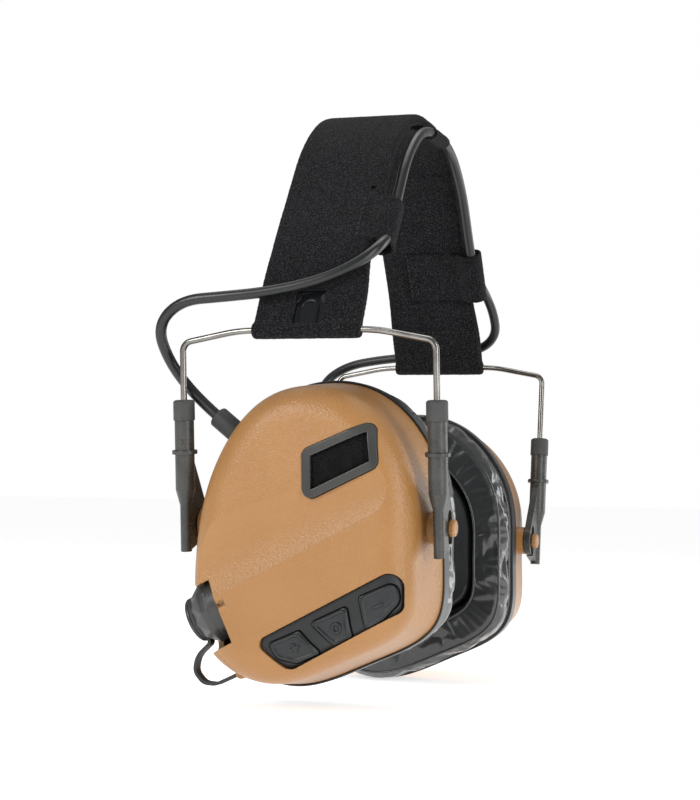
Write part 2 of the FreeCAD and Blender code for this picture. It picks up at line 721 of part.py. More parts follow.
# ---------------------------------------------------------------- right cup only

def key(name):
    """One raised key; its top follows the cover's curve."""
    return place_cup(cup_prism(KEYS[name], KEY_CORNERS[name], 0, KEY_BOTTOM).common(dome(KEY_DEPTH)), "right")


def keypad():
    """Silicone surround of the keys, let into the cover's face."""
    pad = cup_prism(KEYPAD, KEYPAD_CORNERS, 0.2, 12)
    pad = pad.common(dome(KEYPAD_DEPTH)).cut(dome(KEYPAD_DEPTH + KEYPAD_THICKNESS))
    holes = [cup_prism(KEYS[name], KEY_CORNERS[name], -KEY_GAP, 5) for name in KEYS]
    return place_cup(pad.cut(holes), "right")


def key_board():
    """Narrow board under the keypad with a dome switch below each key."""
    slant = math.radians(KEY_SLANT)
    along = Vector(0, -math.cos(slant), math.sin(slant))
    middle = Vector(BOARD_X, -KEY_MIDDLE[0], KEY_MIDDLE[1])
    corners = []
    for a, b in ((-21.5, -4.5), (21.5, -4.5), (21.5, 4.5), (-21.5, 4.5)):
        corners.append(middle + along * a + Vector(0, math.sin(slant), math.cos(slant)) * b)
    board = Part.Face(Part.makePolygon(corners + corners[:1])).extrude(X_AXIS * 1.6)
    for index in (-1, 0, 1):
        foot = middle + along * (index * KEY_PITCH) + X_AXIS * 1.6
        board = board.fuse(rod(2.6, foot, foot + X_AXIS * 1.2))
    return place_cup(board, "right")


def battery_holder():
    """Twin-bore cell holder with the round mouth that the cap closes."""
    across_cells = cap_axis().cross(X_AXIS).normalize()
    half = across_cells * (CELL_RADIUS + 0.25)
    start = cap_point(-9.3)
    end = cap_point(-57.5)
    sleeve = rod(6.7, start + half, end + half).fuse(rod(6.7, start - half, end - half))
    middle = Part.Face(Part.makePolygon([start + half + X_AXIS * 6.7, start - half + X_AXIS * 6.7,
                                         start - half - X_AXIS * 6.7, start + half - X_AXIS * 6.7,
                                         start + half + X_AXIS * 6.7]))
    sleeve = sleeve.fuse(middle.extrude(end - start))
    sleeve = sleeve.fuse(rod(KNOB_RADIUS + 1.0, cap_point(-9.3), cap_point(-7.3)))
    bores = []
    for way in (-1, 1):
        bores.append(rod(CELL_RADIUS + 0.1, cap_point(-6) + half * way, cap_point(-56.2) + half * way))
    mouth = rod(9.9, cap_point(-9.4), cap_point(-6))
    return place_cup(sleeve.cut(bores + [mouth]).removeSplitter(), "right")


def batteries():
    """Two cells side by side, each with its raised positive end."""
    half = cap_axis().cross(X_AXIS).normalize() * (CELL_RADIUS + 0.25)
    cells = []
    for way in (-1, 1):
        can = rod(CELL_RADIUS, cap_point(-10.5) + half * way, cap_point(-53.5) + half * way)
        tip = rod(2.75, cap_point(-53.5) + half * way, cap_point(-54.4) + half * way)
        cells.append(place_cup(can.fuse(tip), "right"))
    return Part.makeCompound(cells)


def battery_contacts():
    """Contact plates at the blind end of the cell bores."""
    half = cap_axis().cross(X_AXIS).normalize() * (CELL_RADIUS + 0.25)
    plates = []
    for way in (-1, 1):
        plate = rod(4.6, cap_point(-55.0) + half * way, cap_point(-55.6) + half * way)
        bump = rod(1.5, cap_point(-54.5) + half * way, cap_point(-55.0) + half * way)
        plates.append(place_cup(plate.fuse(bump), "right"))
    return Part.makeCompound(plates)


def battery_cap():
    """Cap whose grip tapers outwards, with a neck for the tether's loop and an end disc."""
    skirt = rod(KNOB_RADIUS, cap_point(-5.6), cap_point(1.4))
    flare = Part.makeCone(KNOB_RADIUS, KNOB_END_RADIUS + 0.6, KNOB_NECK - 1.4, cap_point(1.4), cap_axis())
    neck = rod(6.6, cap_point(KNOB_NECK), cap_point(KNOB_DISC))
    end_disc = rod(KNOB_END_RADIUS, cap_point(KNOB_DISC), cap_point(KNOB_DISC + 1.4))
    plug = rod(9.3, cap_point(-9.0), cap_point(-5.6))
    return place_cup(skirt.fuse([flare, neck, end_disc, plug]).removeSplitter(), "right")


def cap_seal():
    """O-ring round the cap's plug."""
    seal = Part.makeTorus(9.3 + 0.72, 0.7, cap_point(-6.4), cap_axis())
    return place_cup(seal, "right")


def tether_lug():
    """Small lug under the cover that the tether's end is pinned to."""
    return rod(2.2, Vector(8.9, 24.4, -54.6), Vector(14.3, 24.4, -54.6))


def cap_tether():
    """Rubber strip that keeps the battery cap with the cup: a loop round its neck and a tail."""
    loop = ring(8.6, 6.8, cap_point(KNOB_NECK + 0.15), cap_point(KNOB_DISC - 0.15))
    outline = [(38.5, -42.2), (37.6, -44.3), (42.8, -49.3), (43.6, -55.1), (39.8, -59.1), (34.8, -59.4),
               (26.6, -55.5)]
    points = [Vector(CAP_CENTRE[0] - TETHER_WIDTH / 2, y, z) for y, z in outline]
    edges = rounded_route(points, [1.6, 8.0, 4.5, 4.5, 6.0])
    across_strip = (points[1] - points[0]).normalize().cross(X_AXIS) * (TETHER_THICKNESS / 2)
    low = points[0] - across_strip
    high = points[0] + across_strip
    width = X_AXIS * TETHER_WIDTH
    profile = Part.Face(Part.makePolygon([low, high, high + width, low + width, low]))
    strip = Part.Wire(edges).makePipe(profile)
    return place_cup(loop.fuse(strip), "right")


# ---------------------------------------------------------------- all the pieces

def export(name, shape):
    solids = shape.Solids
    good = shape.isValid() and bool(solids)
    print(name, "solids", len(solids), "volume", round(shape.Volume, 1), "" if good else "NOT VALID")
    if len(solids) == 1:
        shape = solids[0]
    shape.exportStep("parts/" + name + ".step")


ARCH = arch_edges()
ARCH_LENGTH = sum(edge.Length for edge in ARCH)
LEAD_POINTS = lead_route()
LEAD_BENDS = easy_radii(LEAD_POINTS)
LEAD_EDGES = rounded_route(LEAD_POINTS, LEAD_BENDS)

os.makedirs("parts", exist_ok=True)

lead = tube(LEAD_EDGES, LEAD_RADIUS)
lead_length = sum(edge.Length for edge in LEAD_EDGES)
print("lead bends", [round(radius, 1) for radius in LEAD_BENDS])
print("lead length", round(lead_length, 1), "volume ratio",
      round(lead.Volume / (lead_length * math.pi * LEAD_RADIUS ** 2), 4))
export("lead", lead)
export("spring_strip", spring_strip())
export("strip_rivets", strip_rivets())
export("strap_cover", strap_cover())
export("band_pad", band_pad())
export("right_lead_wrap", side_wrap("right", 38, 61))
export("left_lead_wrap", side_wrap("left", 35, 58.5))
export("crest_lead_wrap", crest_wrap())
for side in ("right", "left"):
    export(side + "_wire_clip", wire_clip(side))
    export(side + "_wire_yoke", wire_yoke(side))
    export(side + "_front_arm", arm(side, "front"))
    export(side + "_rear_arm", arm(side, "rear"))
    export(side + "_grip_caps", grip_caps(side))
    export(side + "_cup_cover", cup_cover(side))
    export(side + "_cup_base", cup_base(side))
    export(side + "_cover_screws", cover_screws(side))
    export(side + "_cushion_plate", cushion_plate(side))
    export(side + "_cushion", cushion(side))
    export(side + "_ear_foam", ear_foam(side))
    export(side + "_speaker", speaker(side))
    export(side + "_circuit_board", circuit_board(side))
    export(side + "_mic_bezel", mic_bezel(side))
    export(side + "_mic_foam", mic_foam(side))
    export(side + "_mic_capsule", mic_capsule(side))
    export(side + "_pivot_pins", pivot_pins(side))
    export(side + "_lead_gland", gland(side))
for name in KEYS:
    export(name + "_key", key(name))
export("keypad", keypad())
export("key_board", key_board())
export("battery_holder", battery_holder())
export("batteries", batteries())
export("battery_contacts", battery_contacts())
export("battery_cap", battery_cap())
export("cap_seal", cap_seal())
export("cap_tether", cap_tether())
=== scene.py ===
"""Finish of the electronic ear-muff hearing protector: metres, +Z up, -Y the wearer's front."""
import bpy
import bmesh
import math
from mathutils import Matrix, Vector


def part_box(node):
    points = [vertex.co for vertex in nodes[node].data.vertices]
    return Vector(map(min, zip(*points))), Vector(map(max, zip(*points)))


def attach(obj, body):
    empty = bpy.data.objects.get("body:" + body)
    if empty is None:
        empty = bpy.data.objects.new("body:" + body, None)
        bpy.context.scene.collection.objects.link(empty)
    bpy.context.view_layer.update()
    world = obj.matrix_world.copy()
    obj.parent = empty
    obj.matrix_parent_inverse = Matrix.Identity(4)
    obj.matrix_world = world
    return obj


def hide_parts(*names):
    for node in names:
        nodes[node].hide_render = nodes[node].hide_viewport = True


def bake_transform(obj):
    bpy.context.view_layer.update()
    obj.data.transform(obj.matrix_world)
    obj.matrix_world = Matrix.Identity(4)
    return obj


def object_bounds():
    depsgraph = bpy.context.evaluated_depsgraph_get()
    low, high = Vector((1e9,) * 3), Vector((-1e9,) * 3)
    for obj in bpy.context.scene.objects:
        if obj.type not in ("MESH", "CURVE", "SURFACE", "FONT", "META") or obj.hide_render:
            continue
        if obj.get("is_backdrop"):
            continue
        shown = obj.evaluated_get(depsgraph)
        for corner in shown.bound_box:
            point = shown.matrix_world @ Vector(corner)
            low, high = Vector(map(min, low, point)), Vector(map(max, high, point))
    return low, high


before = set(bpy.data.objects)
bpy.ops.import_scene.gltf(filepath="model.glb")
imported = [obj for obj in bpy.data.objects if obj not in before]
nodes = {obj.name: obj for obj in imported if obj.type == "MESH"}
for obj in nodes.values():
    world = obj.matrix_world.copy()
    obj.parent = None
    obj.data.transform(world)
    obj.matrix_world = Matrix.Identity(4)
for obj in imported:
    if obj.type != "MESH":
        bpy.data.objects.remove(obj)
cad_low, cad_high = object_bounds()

scene = bpy.context.scene
bpy.ops.object.select_all(action="DESELECT")


# ------------------------------------------------------------------ camera and studio
# The protector stands on its own on a pale floor, seen a little from the front of the
# wearer's right side and from just below its middle. White walls and four soft boxes light it.

ROOM_LIGHT = 0.36
TARGET = Vector((0, 0, 0.05))
camera_data = bpy.data.cameras.new("camera")
camera = bpy.data.objects.new("camera", camera_data)
scene.collection.objects.link(camera)
scene.camera = camera
turn, rise, tip = math.radians(15.99), math.radians(6.03), math.radians(0.99)
ahead = Vector((math.cos(rise) * math.cos(turn), math.cos(rise) * math.sin(turn), math.sin(rise)))
level_right = ahead.cross(Vector((0, 0, 1))).normalized()
level_up = level_right.cross(ahead)
right = math.cos(tip) * level_right + math.sin(tip) * level_up
up = -math.sin(tip) * level_right + math.cos(tip) * level_up
camera_place = Matrix((right, up, -ahead)).transposed().to_4x4()
camera_place.translation = (-0.649, -0.2156, 0.0141)
camera.matrix_world = camera_place
camera_data.sensor_width = 36
camera_data.lens = 73.03
camera_data.shift_x = -0.1238
camera_data.shift_y = -0.0943
scene.view_settings.view_transform = "Standard"

world = bpy.data.worlds.new("studio")
scene.world = world
world.use_nodes = True
room = world.node_tree
room.nodes["Background"].inputs["Color"].default_value = (1, 1, 1, 1)
backdrop_or_room = room.nodes.new("ShaderNodeMapRange")
backdrop_or_room.inputs["To Min"].default_value = ROOM_LIGHT
backdrop_or_room.inputs["To Max"].default_value = 1.0
sight = room.nodes.new("ShaderNodeLightPath")
room.links.new(sight.outputs["Is Camera Ray"], backdrop_or_room.inputs["Value"])
room.links.new(backdrop_or_room.outputs["Result"], room.nodes["Background"].inputs["Strength"])


def soft_box(name, place, size, power):
    lamp = bpy.data.lights.new(name, "AREA")
    lamp.shape = "RECTANGLE"
    lamp.size, lamp.size_y = size
    lamp.energy = power
    holder = bpy.data.objects.new(name, lamp)
    holder.location = place
    holder.rotation_euler = (TARGET - holder.location).to_track_quat("-Z", "Y").to_euler()
    scene.collection.objects.link(holder)


soft_box("key_box", Vector((-0.70, 0.36, 0.40)), (0.30, 0.34), 3.3)
soft_box("front_box", Vector((-0.40, -0.72, 0.22)), (0.16, 0.60), 2.6)
soft_box("rim_box", Vector((0.60, -0.60, 0.05)), (0.30, 0.80), 2.6)
soft_box("top_box", Vector((0.10, 0.05, 0.80)), (0.60, 0.60), 2.6)


def tree_of(name):
    """A fresh material and its node tree, with nothing but a Principled shader in it."""
    material = bpy.data.materials.new(name)
    material.use_nodes = True
    return material, material.node_tree, material.node_tree.nodes["Principled BSDF"]


floor_paint, floor_tree, floor_shader = tree_of("floor_paint")
floor_shader.inputs["Base Color"].default_value = (0.97, 0.97, 0.97, 1)
floor_shader.inputs["Roughness"].default_value = 0.9
floor_shader.inputs["Emission Color"].default_value = (1, 1, 1, 1)
floor_shader.inputs["Emission Strength"].default_value = 0.62
bpy.ops.mesh.primitive_plane_add(size=30, location=(0, 0, cad_low[2] - 0.0005))
floor = bpy.context.object
floor.name = "floor"
floor.data.materials.append(floor_paint)
floor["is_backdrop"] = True
bpy.ops.object.select_all(action="DESELECT")


# ------------------------------------------------------------------ lead between the cups
# A round rubber-sheathed lead 4.2 mm thick. It leaves the right cup's boot, swings behind and
# over the yoke, runs under the strap through three fleece pockets, and returns to the left cup.

LEAD_RADIUS = 0.0021
LEAD_LEFT = [(0.0790, 0.0377, 0.0349), (0.0790, 0.0472, 0.0423), (0.0810, 0.0580, 0.0545),
             (0.0880, 0.0585, 0.0675), (0.0920, 0.0480, 0.0758), (0.0933, 0.0320, 0.0788),
             (0.0936, 0.0140, 0.0802), (0.0930, -0.0060, 0.0812), (0.0910, -0.0205, 0.0835),
             (0.0870, -0.0280, 0.0900), (0.0820, -0.0276, 0.0995), (0.0766, -0.0252, 0.1075)]
LEAD_OVER_HEAD = [(0.0632, -0.0240, 0.1140), (0.0580, -0.0232, 0.1214), (0.0529, -0.0229, 0.1300),
                  (0.0403, -0.0229, 0.1505), (0.0184, -0.0229, 0.1660)]
LEAD_RIGHT = [(-0.0760, -0.0246, 0.1080), (-0.0812, -0.0208, 0.1025), (-0.0846, -0.0120, 0.0965),
              (-0.0868, 0.0000, 0.0920), (-0.0884, 0.0160, 0.0888), (-0.0900, 0.0330, 0.0872),
              (-0.0905, 0.0505, 0.0860), (-0.0880, 0.0610, 0.0765), (-0.0820, 0.0580, 0.0630),
              (-0.0799, 0.0472, 0.0498), (-0.0799, 0.0377, 0.0424)]
LEAD_ROUTE = LEAD_LEFT + LEAD_OVER_HEAD + [(-x, y, z) for x, y, z in reversed(LEAD_OVER_HEAD)] + LEAD_RIGHT


def sheen_noise(tree, shader, colour, dark, patch, rough, rough_spread):
    """Colour that drifts between two tones in soft patches, with roughness that drifts too."""
    place = tree.nodes.new("ShaderNodeTexCoord")
    drift = tree.nodes.new("ShaderNodeTexNoise")
    drift.inputs["Scale"].default_value = 1 / patch
    drift.inputs["Detail"].default_value = 4
    tone = tree.nodes.new("ShaderNodeValToRGB")
    tone.color_ramp.elements[0].position = 0.35
    tone.color_ramp.elements[1].position = 0.65
    tone.color_ramp.elements[0].color = (*dark, 1)
    tone.color_ramp.elements[1].color = (*colour, 1)
    gloss = tree.nodes.new("ShaderNodeMapRange")
    gloss.inputs["To Min"].default_value = rough - rough_spread
    gloss.inputs["To Max"].default_value = rough + rough_spread
    tree.links.new(place.outputs["Object"], drift.inputs["Vector"])
    tree.links.new(drift.outputs["Fac"], tone.inputs["Fac"])
    tree.links.new(drift.outputs["Fac"], gloss.inputs["Value"])
    tree.links.new(tone.outputs["Color"], shader.inputs["Base Color"])
    tree.links.new(gloss.outputs["Result"], shader.inputs["Roughness"])
    return place, tone


def grain(tree, shader, place, size, height, edge=0.0):
    """Fine moulded grain, and edges eased by a small radius where a piece has one."""
    spots = tree.nodes.new("ShaderNodeTexNoise")
    spots.inputs["Scale"].default_value = 1 / size
    spots.inputs["Detail"].default_value = 3
    spots.inputs["Roughness"].default_value = 0.6
    bump = tree.nodes.new("ShaderNodeBump")
    bump.inputs["Strength"].default_value = 1.0
    bump.inputs["Distance"].default_value = height
    tree.links.new(place.outputs["Object"], spots.inputs["Vector"])
    tree.links.new(spots.outputs["Fac"], bump.inputs["Height"])
    tree.links.new(bump.outputs["Normal"], shader.inputs["Normal"])
    if edge:
        ease = tree.nodes.new("ShaderNodeBevel")
        ease.samples = 6
        ease.inputs["Radius"].default_value = edge
        tree.links.new(ease.outputs["Normal"], bump.inputs["Normal"])
    return spots


def moulded(name, colour, dark, rough, grain_size, grain_height, edge=0.0, patch=0.02, spread=0.05):
    material, tree, shader = tree_of(name)
    place = sheen_noise(tree, shader, colour, dark, patch, rough, spread)[0]
    grain(tree, shader, place, grain_size, grain_height, edge)
    return material


def finish_node(name, material):
    """Gives a framed part its finish."""
    for slot_index in range(len(nodes[name].material_slots)):
        nodes[name].material_slots[slot_index].material = material
    if not nodes[name].material_slots:
        nodes[name].data.materials.append(material)


def route_curve(name, points):
    """A smooth line through space that these points steer."""
    data = bpy.data.curves.new(name, "CURVE")
    data.dimensions = "3D"
    data.resolution_u = 10
    spline = data.splines.new("NURBS")
    spline.points.add(len(points) - 1)
    for point, place in zip(spline.points, points):
        point.co = (*place, 1)
    spline.order_u = 3
    spline.use_endpoint_u = True
    return bpy.data.objects.new(name, data)


def smooth_line(name, points):
    """The places along a route, read from its smooth line."""
    line = route_curve(name, points)
    scene.collection.objects.link(line)
    mesh = bpy.data.meshes.new_from_object(line)
    places = [vertex.co.copy() for vertex in mesh.vertices]
    bpy.data.objects.remove(line)
    bpy.data.meshes.remove(mesh)
    return places


def select_only(piece):
    """Makes a piece the one that the operators work on."""
    bpy.ops.object.select_all(action="DESELECT")
    piece.select_set(True)
    bpy.context.view_layer.objects.active = piece


def round_bar(name, places, radius, closed=False, sides=6):
    """A round bar along a line of places, made into a mesh with smooth faces."""
    data = bpy.data.curves.new(name, "CURVE")
    data.dimensions = "3D"
    data.bevel_depth = radius
    data.bevel_resolution = sides
    data.use_fill_caps = not closed
    spline = data.splines.new("POLY")
    spline.points.add(len(places) - 1)
    for point, place in zip(spline.points, places):
        point.co = (*place, 1)
    spline.use_cyclic_u = closed
    bar = bpy.data.objects.new(name, data)
    scene.collection.objects.link(bar)
    select_only(bar)
    bpy.ops.object.convert(target="MESH")
    bpy.ops.object.shade_smooth_by_angle(angle=math.radians(50))
    return bpy.context.object


lead_rubber = moulded("lead_rubber", (0.007, 0.008, 0.008), (0.005, 0.006, 0.006), 0.34, 0.0006, 0.00002)
lead_places = smooth_line("lead_route", LEAD_ROUTE)


def nearest_place(point):
    """Number of the lead's place that is closest to a point of its route."""
    return min(range(len(lead_places)), key=lambda index: (lead_places[index] - Vector(point)).length)


def lead_stretch(name, first, last):
    stretch = round_bar(name, lead_places[first:last + 1], LEAD_RADIUS)
    stretch.data.materials.append(lead_rubber)
    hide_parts("lead")
    return stretch


left_cup_turn = nearest_place(LEAD_LEFT[2])
left_yoke_turn = nearest_place(LEAD_LEFT[4])
left_strap_turn = nearest_place(LEAD_LEFT[8])
right_strap_turn = nearest_place(LEAD_RIGHT[2])
right_yoke_turn = nearest_place(LEAD_RIGHT[6])
right_cup_turn = nearest_place(LEAD_RIGHT[8])
stretch = lead_stretch("lead_over_head", left_strap_turn, right_strap_turn)
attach(stretch, "headband")
for name, first, last, body_a, body_b in (
        ("left_lead_tilt", 0, left_cup_turn, "left_cup", "left_arms"),
        ("left_lead_slide", left_cup_turn, left_yoke_turn, "left_arms", "left_yoke"),
        ("left_lead_fold", left_yoke_turn, left_strap_turn, "left_yoke", "headband"),
        ("right_lead_fold", right_strap_turn, right_yoke_turn, "headband", "right_yoke"),
        ("right_lead_slide", right_yoke_turn, right_cup_turn, "right_yoke", "right_arms"),
        ("right_lead_tilt", right_cup_turn, len(lead_places) - 1, "right_arms", "right_cup")):
    stretch = lead_stretch(name, first, last)
    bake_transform(stretch)


# ------------------------------------------------------------------ lead boots
# A short rubber boot grips the lead where it enters each cup. It is moulded with a thick
# collar at the shell and a softly rounded lip round the lead.

BOOT_RADIUS = 0.0041
BOOT_LENGTH = 0.0138
boot_rubber = moulded("boot_rubber", (0.026, 0.027, 0.027), (0.017, 0.018, 0.018), 0.60, 0.0005, 0.00005)


def settle(piece):
    """Puts a piece's place into its mesh."""
    select_only(piece)
    bpy.ops.object.transform_apply(location=True, rotation=True, scale=True)
    return piece


def apply_modifiers(piece):
    select_only(piece)
    for modifier in list(piece.modifiers):
        bpy.ops.object.modifier_apply(modifier=modifier.name)
    return piece


def ease_edges(piece, width, steps=3, angle=35):
    """Rounds the sharp edges of a piece and smooths its faces."""
    bevel = piece.modifiers.new("ease", "BEVEL")
    bevel.width = width
    bevel.segments = steps
    bevel.limit_method = "ANGLE"
    bevel.angle_limit = math.radians(angle)
    apply_modifiers(piece)
    bpy.ops.object.shade_smooth_by_angle(angle=math.radians(40))
    return piece


for side, end, inner in (("right", LEAD_RIGHT[-1], LEAD_RIGHT[-2]), ("left", LEAD_LEFT[0], LEAD_LEFT[1])):
    out = (Vector(inner) - Vector(end)).normalized()
    bpy.ops.mesh.primitive_cylinder_add(vertices=48, radius=BOOT_RADIUS, depth=BOOT_LENGTH)
    boot = bpy.context.object
    boot.name = side + "_lead_boot"
    bpy.ops.object.mode_set(mode="EDIT")
    bpy.ops.mesh.select_mode(type="FACE")
    bpy.ops.mesh.select_all(action="DESELECT")
    shape = bmesh.from_edit_mesh(boot.data)
    for face in shape.faces:
        face.select = face.normal.z > 0.9
    bpy.ops.mesh.inset(thickness=0.0014)
    bpy.ops.transform.translate(value=(0, 0, 0.0006))
    bpy.ops.mesh.inset(thickness=0.0004)
    bpy.ops.transform.translate(value=(0, 0, -0.0020))
    bpy.ops.object.mode_set(mode="OBJECT")
    boot.rotation_euler = out.to_track_quat("Z", "Y").to_euler()
    boot.location = Vector(end) - out * (BOOT_LENGTH / 2 - 0.0004)
    ease_edges(settle(boot), 0.0005)
    boot.data.materials.append(boot_rubber)
    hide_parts(side + "_lead_gland")
    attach(boot, side + "_cup")


# ------------------------------------------------------------------ strap
# A sleeve of heathered fleece over a sprung steel strip and a thin foam pad. Its ends are
# folded round the yokes' crossbars and hemmed, and a window near each hem shows the clip.

ARCH_CORNERS = [(0.0881, 0.0744), (0.0730, 0.1070), (0.0440, 0.1540), (0.0200, 0.1710),
                (-0.0200, 0.1710), (-0.0440, 0.1540), (-0.0730, 0.1070), (-0.0881, 0.0744)]
ARCH_BENDS = [0.200, 0.068, 0.048, 0.048, 0.068, 0.200]
STRAP_HALF_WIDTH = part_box("strap_cover")[1].y
STRAP_HALF_THICKNESS = 0.0025
HEM_RADIUS = 0.0033
FLEECE_STEP = 0.00064
WINDOW_MIDDLE = 0.0088
WINDOW_REACH = 0.0076
WINDOW_HALF_WIDTH = 0.0057
WINDOW_FLOOR = 0.0002
FRONT_NARROWING = 0.09
REAR_NARROWING = 0.03
NARROWING_START = 0.012
NARROWING_RUN = 0.028
# On the wearer's side: where each doubled stretch starts and ends, and how deep it lies.
LAPS = [(0, 0.021, 0.0032), (0, 0.033, 0.0028), (0.0755, 0.0985, 0.0029)]


def arch_stretches():
    """The strap's middle line from the left hem to the right: length, start, angle, bend radius."""
    corners = [Vector(corner) for corner in ARCH_CORNERS]
    stretches = []
    here = corners[0]
    for before, corner, after, radius in zip(corners, corners[1:], corners[2:], ARCH_BENDS):
        way_in = (corner - before).normalized()
        way_out = (after - corner).normalized()
        turned = way_in.angle(way_out)
        start = corner - way_in * radius * math.tan(turned / 2)
        angle = math.atan2(way_in.y, way_in.x)
        stretches.append(((start - here).length, here, angle, 0))
        stretches.append((radius * turned, start, angle, radius))
        here = corner + way_out * radius * math.tan(turned / 2)
    stretches.append(((corners[-1] - here).length, here, math.atan2(way_out.y, way_out.x), 0))
    return stretches


ARCH = arch_stretches()
ARCH_LENGTH = sum(stretch[0] for stretch in ARCH)


def over_head(piece):
    """Bends a piece that was drawn flat, its length along X and its outer side up, over the head."""
    for vertex in piece.data.vertices:
        along, y, height = vertex.co
        for length, start, angle, radius in ARCH:
            if along <= length:
                break
            along -= length
        else:
            along += length
        if radius:
            middle = start - Vector((math.sin(angle), -math.cos(angle))) * radius
            angle += along / radius
            along = 0
            start = middle + Vector((math.sin(angle), -math.cos(angle))) * radius
        x = start.x + along * math.cos(angle) + height * math.sin(angle)
        z = start.y + along * math.sin(angle) - height * math.cos(angle)
        vertex.co = (x, y, z)
    return piece


def flat_block(name, low, high, ease=0.0):
    """A plain block between two corners in the flat strap, a start for cutting and joining."""
    low, high = Vector(low), Vector(high)
    bpy.ops.mesh.primitive_cube_add(size=1, location=(low + high) / 2)
    block = bpy.context.object
    block.name = name
    block.scale = high - low
    settle(block)
    if ease:
        ease_edges(block, ease)
    return block


def join(pieces):
    bpy.ops.object.select_all(action="DESELECT")
    for piece in pieces:
        piece.select_set(True)
    bpy.context.view_layer.objects.active = pieces[0]
    bpy.ops.object.join()
    return bpy.context.object


def cut(piece, tool):
    """Takes the tool's shape out of the piece."""
    boolean = piece.modifiers.new("cut", "BOOLEAN")
    boolean.object = tool
    boolean.solver = "EXACT"
    apply_modifiers(piece)
    bpy.data.objects.remove(tool)


def one_skin(piece, step, smooth=4):
    """Melts joined shapes into one even skin of small faces."""
    remesh = piece.modifiers.new("skin", "REMESH")
    remesh.mode = "VOXEL"
    remesh.voxel_size = step
    relax = piece.modifiers.new("relax", "SMOOTH")
    relax.factor = 0.5
    relax.iterations = smooth
    apply_modifiers(piece)
    bpy.ops.object.shade_smooth()


nap_texture = bpy.data.textures.new("nap", "CLOUDS")
nap_texture.noise_scale = 0.0011
nap_texture.noise_depth = 2


def raise_nap(piece, height):
    """Lifts the fleece's loops a little, at random, so that its outline is fuzzy."""
    nap = piece.modifiers.new("nap", "DISPLACE")
    nap.texture = nap_texture
    nap.texture_coords = "LOCAL"
    nap.strength = height
    nap.mid_level = 0.5
    apply_modifiers(piece)


fleece, fleece_tree, fleece_shader = tree_of("fleece")
fleece_place, fleece_tone = sheen_noise(fleece_tree, fleece_shader, (0.0034, 0.0034, 0.0043),
                                        (0.0018, 0.0018, 0.0023), 0.012, 0.95, 0.03)
fibres = grain(fleece_tree, fleece_shader, fleece_place, 0.00042, 0.00045)
fibres.inputs["Detail"].default_value = 2
speck = fleece_tree.nodes.new("ShaderNodeValToRGB")
speck.color_ramp.elements[0].position = 0.50
speck.color_ramp.elements[1].position = 0.74
speck.color_ramp.elements[0].color = (0, 0, 0, 1)
speck.color_ramp.elements[1].color = (0.055, 0.056, 0.060, 1)
heather = fleece_tree.nodes.new("ShaderNodeMix")
heather.data_type = "RGBA"
heather.blend_type = "ADD"
heather.inputs["Factor"].default_value = 1.0
fleece_tree.links.new(fibres.outputs["Fac"], speck.inputs["Fac"])
fleece_tree.links.new(fleece_tone.outputs["Color"], heather.inputs[6])
fleece_tree.links.new(speck.outputs["Color"], heather.inputs[7])
fleece_tree.links.new(heather.outputs[2], fleece_shader.inputs["Base Color"])
fleece_shader.inputs["Sheen Weight"].default_value = 0.04
fleece_shader.inputs["Sheen Roughness"].default_value = 0.6
fleece_shader.inputs["Specular IOR Level"].default_value = 0.05

body = flat_block("strap", (-0.0005, -STRAP_HALF_WIDTH + 0.0004, -STRAP_HALF_THICKNESS + 0.0002),
                  (ARCH_LENGTH + 0.0005, STRAP_HALF_WIDTH - 0.0004, STRAP_HALF_THICKNESS - 0.0002), 0.0018)
parts = [body]
for middle in (0, ARCH_LENGTH):
    bpy.ops.mesh.primitive_cylinder_add(vertices=32, radius=HEM_RADIUS, depth=2 * STRAP_HALF_WIDTH - 0.0008,
                                        location=(middle, 0, 0), rotation=(math.pi / 2, 0, 0))
    hem = bpy.context.object
    settle(hem)
    ease_edges(hem, 0.0010)
    parts.append(hem)
for first, last, depth in LAPS:
    for low_end, high_end in ((first, last), (ARCH_LENGTH - last, ARCH_LENGTH - first)):
        parts.append(flat_block("lap", (low_end, -STRAP_HALF_WIDTH + 0.0012, -depth),
                                (high_end, STRAP_HALF_WIDTH - 0.0012, 0), 0.0003))
strap = join(parts)
strap.name = "strap"
one_skin(strap, FLEECE_STEP)
for vertex in strap.data.vertices:
    from_end = min(vertex.co.x, ARCH_LENGTH - vertex.co.x)
    narrowing = min(max((from_end - NARROWING_START) / NARROWING_RUN, 0), 1)
    narrowing = narrowing * narrowing * (3 - 2 * narrowing)
    vertex.co.y *= 1 - (FRONT_NARROWING if vertex.co.y < 0 else REAR_NARROWING) * narrowing
raise_nap(strap, 0.00035)
for middle in (WINDOW_MIDDLE, ARCH_LENGTH - WINDOW_MIDDLE):
    cut(strap, flat_block("window", (middle - WINDOW_REACH, -WINDOW_HALF_WIDTH, WINDOW_FLOOR),
                          (middle + WINDOW_REACH, WINDOW_HALF_WIDTH, 0.008), 0.0012))
bpy.ops.mesh.primitive_cylinder_add(vertices=20, radius=0.0011, depth=0.003,
                                    location=(ARCH_LENGTH - 0.0650, -0.0152, 0.0022))
cut(strap, bpy.context.object)
over_head(strap)
strap.data.materials.append(fleece)
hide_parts("strap_cover")
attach(strap, "headband")


# ------------------------------------------------------------------ strap pockets
# Three fleece tabs hold the lead under the strap's front edge. The side ones are folded
# round the edge and stitched down on the wearer's side, and the crest one is a short tunnel.

POCKET_WALL = 0.0011
POCKET_ROWS = 34
SIDE_POCKETS = {"left": (0.0352, 0.0582), "right": (ARCH_LENGTH - 0.0605, ARCH_LENGTH - 0.0382)}
CREST_HALF_LENGTH = 0.0106


